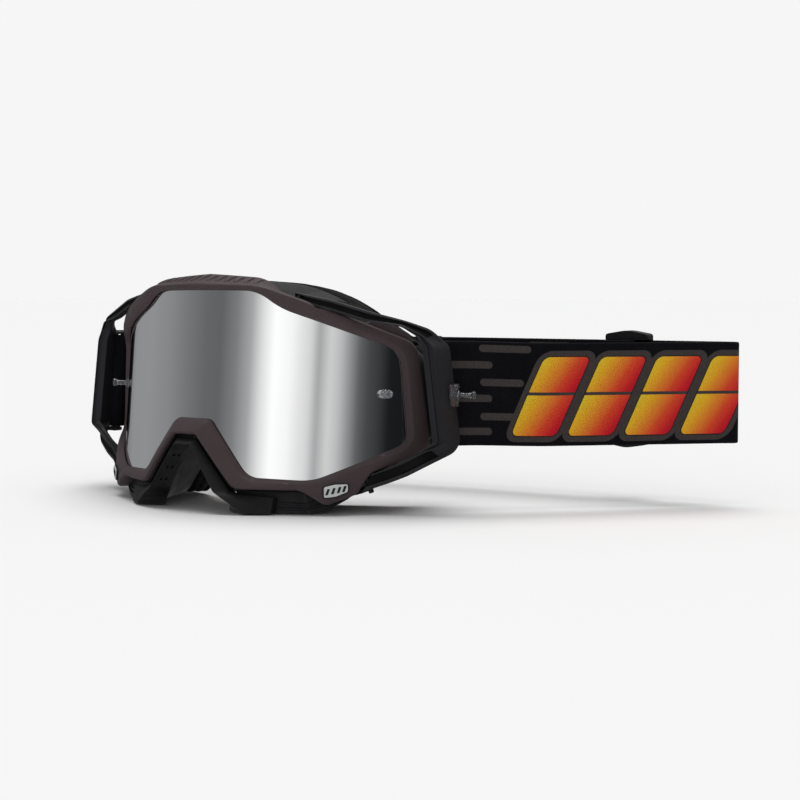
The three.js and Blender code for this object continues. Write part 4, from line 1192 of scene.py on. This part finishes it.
# ------------------------------------------------------------ putting it together
def dress(piece, body, material, slot, *nodes):
    """Gives a piece its material, the body it rides on and the nodes it stands for. The slot is not used."""
    if not any(piece.data.materials):
        piece.data.materials.clear()
        piece.data.materials.append(material)
    if body:
        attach(piece, body)
    if nodes:
        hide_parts(*nodes)
    return piece


dress(front_frame(), "frame", SHELL, "shell", "front_frame")
dress(brow_ridges(), "frame", SHELL, "shell")
dress(rear_frame(), "frame", BLACK, "black_plastic", "rear_frame")
dress(chin_ridges(), "frame", BLACK, "black_plastic")
# The notch liner's near-black is painted shade for the gap in the nose notch.
dress(notch_liner(), "frame", PAINTED_SHADE_BLACK, "black_plastic")
dress(nose_guard(), "nose_guard", GUARD_BLACK, "black_plastic", "nose_guard")

mirror = dress(lens_sheet(), "frame", MIRROR, "lens", "lens")
mirror.data.materials.append(SMOKE)
for polygon in mirror.data.polygons:
    outward = Vector((polygon.center.x - ORIGIN[0] / 1000, polygon.center.y - ORIGIN[1] / 1000, 0))
    polygon.material_index = 0 if polygon.normal.dot(outward) > 0 else 1

LAYERS = [("foam_base", 0.2, 6.2, 0.7, FOAM_BASE, 1.6), ("foam_middle", 6.2, 11.2, 0.6, FOAM_MIDDLE, 1.4),
          ("foam_face", 11.2, 14, 0.4, FLEECE, 1.0)]
for node, start, end, crown, finish, coarse in LAYERS:
    dress(foam_layer(f"{node}_layer", start, end, crown, coarse), "frame", finish, "foam", node)

for side, mirror_it in (("left", False), ("right", True)):
    arm = f"outrigger_{side}"
    sign = -1 if mirror_it else 1
    dress(outrigger(side, mirror_it), arm, ARM_BLACK, "black_plastic", arm)
    dress(outrigger_post(side, mirror_it), arm, CLEAR, "clear_post", f"outrigger_post_{side}")
    dress(lens_post(side, sign), "frame", CLEAR, "clear_post", f"lens_post_{side}")
    for upper in (True, False):
        name = f"pivot_pin_{'upper' if upper else 'lower'}_{side}"
        dress(pin(f"{name}_steel", upper, 0, mirror_it), "frame", STEEL, "clear_post", name)
    dress(vent_foam(side, mirror_it), "frame", FILTER, "foam", f"brow_vent_foam_{side}")
    rim, plate, bars = badge(side, mirror_it)
    dress(rim, "frame", INK, "badge", f"badge_{side}")
    dress(plate, "frame", WHITE, "badge")
    dress(bars, "frame", INK, "badge")

dress(slider(), "strap_slider", BLACK, "black_plastic", "strap_slider")


def cloth_piece(piece, nodes):
    dress(piece, None, WOVEN, "strap", *nodes)
    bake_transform(piece)


cloth_piece(strap_near(), ["strap_band"])
cloth_piece(strap_far(), ["strap_band"])
return_front, return_rear = strap_returns()
cloth_piece(return_front, ["strap_return"])
cloth_piece(return_rear, ["strap_return"])

# ------------------------------------------------------------ floor, light and surroundings
FLOOR_SIZE = 30.0
BACKGROUND = 0.922
# How bright the surroundings are round the goggles at the lens's height: degrees from straight
# ahead towards the wearer's left, and the shade that the mirror should show, 0 to 255.
SURROUND = [
    (-180, 150), (-125, 110), (-105, 138), (-85, 140), (-65, 131), (-50, 114), (-37, 99), (-27, 95), (-17, 121),
    (-8, 161), (-1, 219), (6, 253), (15, 243), (20, 226), (26, 208), (30.5, 160), (37, 203), (42, 184), (47, 145),
    (52.7, 93), (58, 68), (64, 54), (70, 26), (82, 22), (100, 34), (140, 90), (180, 150),
]


def surroundings():
    world = bpy.data.worlds.new("studio")
    bpy.context.scene.world = world
    world.use_nodes = True
    tree = world.node_tree
    tree.nodes.clear()

    def add(kind, **settings):
        node = tree.nodes.new(kind)
        for key, value in settings.items():
            setattr(node, key, value)
        return node

    def math_node(operation, *values):
        node = add("ShaderNodeMath", operation=operation)
        for socket, value in zip(node.inputs, values):
            if isinstance(value, bpy.types.NodeSocket):
                tree.links.new(value, socket)
            else:
                socket.default_value = value
        return node.outputs[0]

    way = add("ShaderNodeSeparateXYZ")
    tree.links.new(add("ShaderNodeTexCoord").outputs["Generated"], way.inputs[0])
    x, y, z = way.outputs
    turn_to = math_node("ARCTAN2", x, math_node("MULTIPLY", y, -1))
    share = math_node("MULTIPLY_ADD", turn_to, 0.5 / math.pi, 0.5)
    ramp = add("ShaderNodeValToRGB")
    for _ in range(len(SURROUND) - 2):
        ramp.color_ramp.elements.new(0.5)
    for element, (degrees, value) in zip(ramp.color_ramp.elements, SURROUND):
        element.position = (degrees + 180) / 360
        element.color = paint(value, value + 1 if value < 200 else value, value + 2 if value < 200 else value)
    tree.links.new(share, ramp.inputs[0])
    band = add("ShaderNodeBackground")
    band.inputs["Strength"].default_value = 1.12
    tree.links.new(ramp.outputs[0], band.inputs["Color"])
    sky = add("ShaderNodeBackground")
    sky.inputs["Color"].default_value = (1, 1, 1, 1)
    sky.inputs["Strength"].default_value = 0.42
    plain = add("ShaderNodeBackground")
    plain.inputs["Color"].default_value = (BACKGROUND, BACKGROUND, BACKGROUND, 1)
    high = add("ShaderNodeMapRange", interpolation_type="SMOOTHSTEP")
    tree.links.new(z, high.inputs[0])
    high.inputs[1].default_value = 0.26
    high.inputs[2].default_value = 0.5
    upward = add("ShaderNodeMixShader")
    tree.links.new(high.outputs[0], upward.inputs[0])
    tree.links.new(band.outputs[0], upward.inputs[1])
    tree.links.new(sky.outputs[0], upward.inputs[2])
    seen = add("ShaderNodeMixShader")
    tree.links.new(add("ShaderNodeLightPath").outputs["Is Camera Ray"], seen.inputs[0])
    tree.links.new(upward.outputs[0], seen.inputs[1])
    tree.links.new(plain.outputs[0], seen.inputs[2])
    tree.links.new(seen.outputs[0], add("ShaderNodeOutputWorld").inputs[0])


def lamp(name, strength, spread_degrees, azimuth, elevation):
    light = bpy.data.lights.new(name, "SUN")
    light.energy = strength
    light.angle = math.radians(spread_degrees)
    holder = bpy.data.objects.new(name, light)
    bpy.context.scene.collection.objects.link(holder)
    a, e = math.radians(azimuth), math.radians(elevation)
    back = Vector((math.sin(a) * math.cos(e), -math.cos(a) * math.cos(e), math.sin(e)))
    holder.rotation_euler = (-back).to_track_quat("-Z", "Y").to_euler()


def floor():
    half = FLOOR_SIZE / 2
    mesh = bpy.data.meshes.new("floor")
    mesh.from_pydata([(-half, -half, 0), (half, -half, 0), (half, half, 0), (-half, half, 0)], [], [(0, 1, 2, 3)])
    plane = bpy.data.objects.new("floor", mesh)
    bpy.context.scene.collection.objects.link(plane)
    pale = Finish("pale_floor", Specular_IOR_Level=0.1)
    pale.colour(pale.blend(pale.noise(400, 2), (0.858, 0.858, 0.858, 1), (0.864, 0.864, 0.864, 1)))
    pale.roughness(pale.spread(pale.noise(3), 0.3, 0.7, 0.9, 1.0))
    mesh.materials.append(pale.material)
    plane.visible_glossy = False


surroundings()
lamp("key", 2.2, 50, -150, 79)
floor()
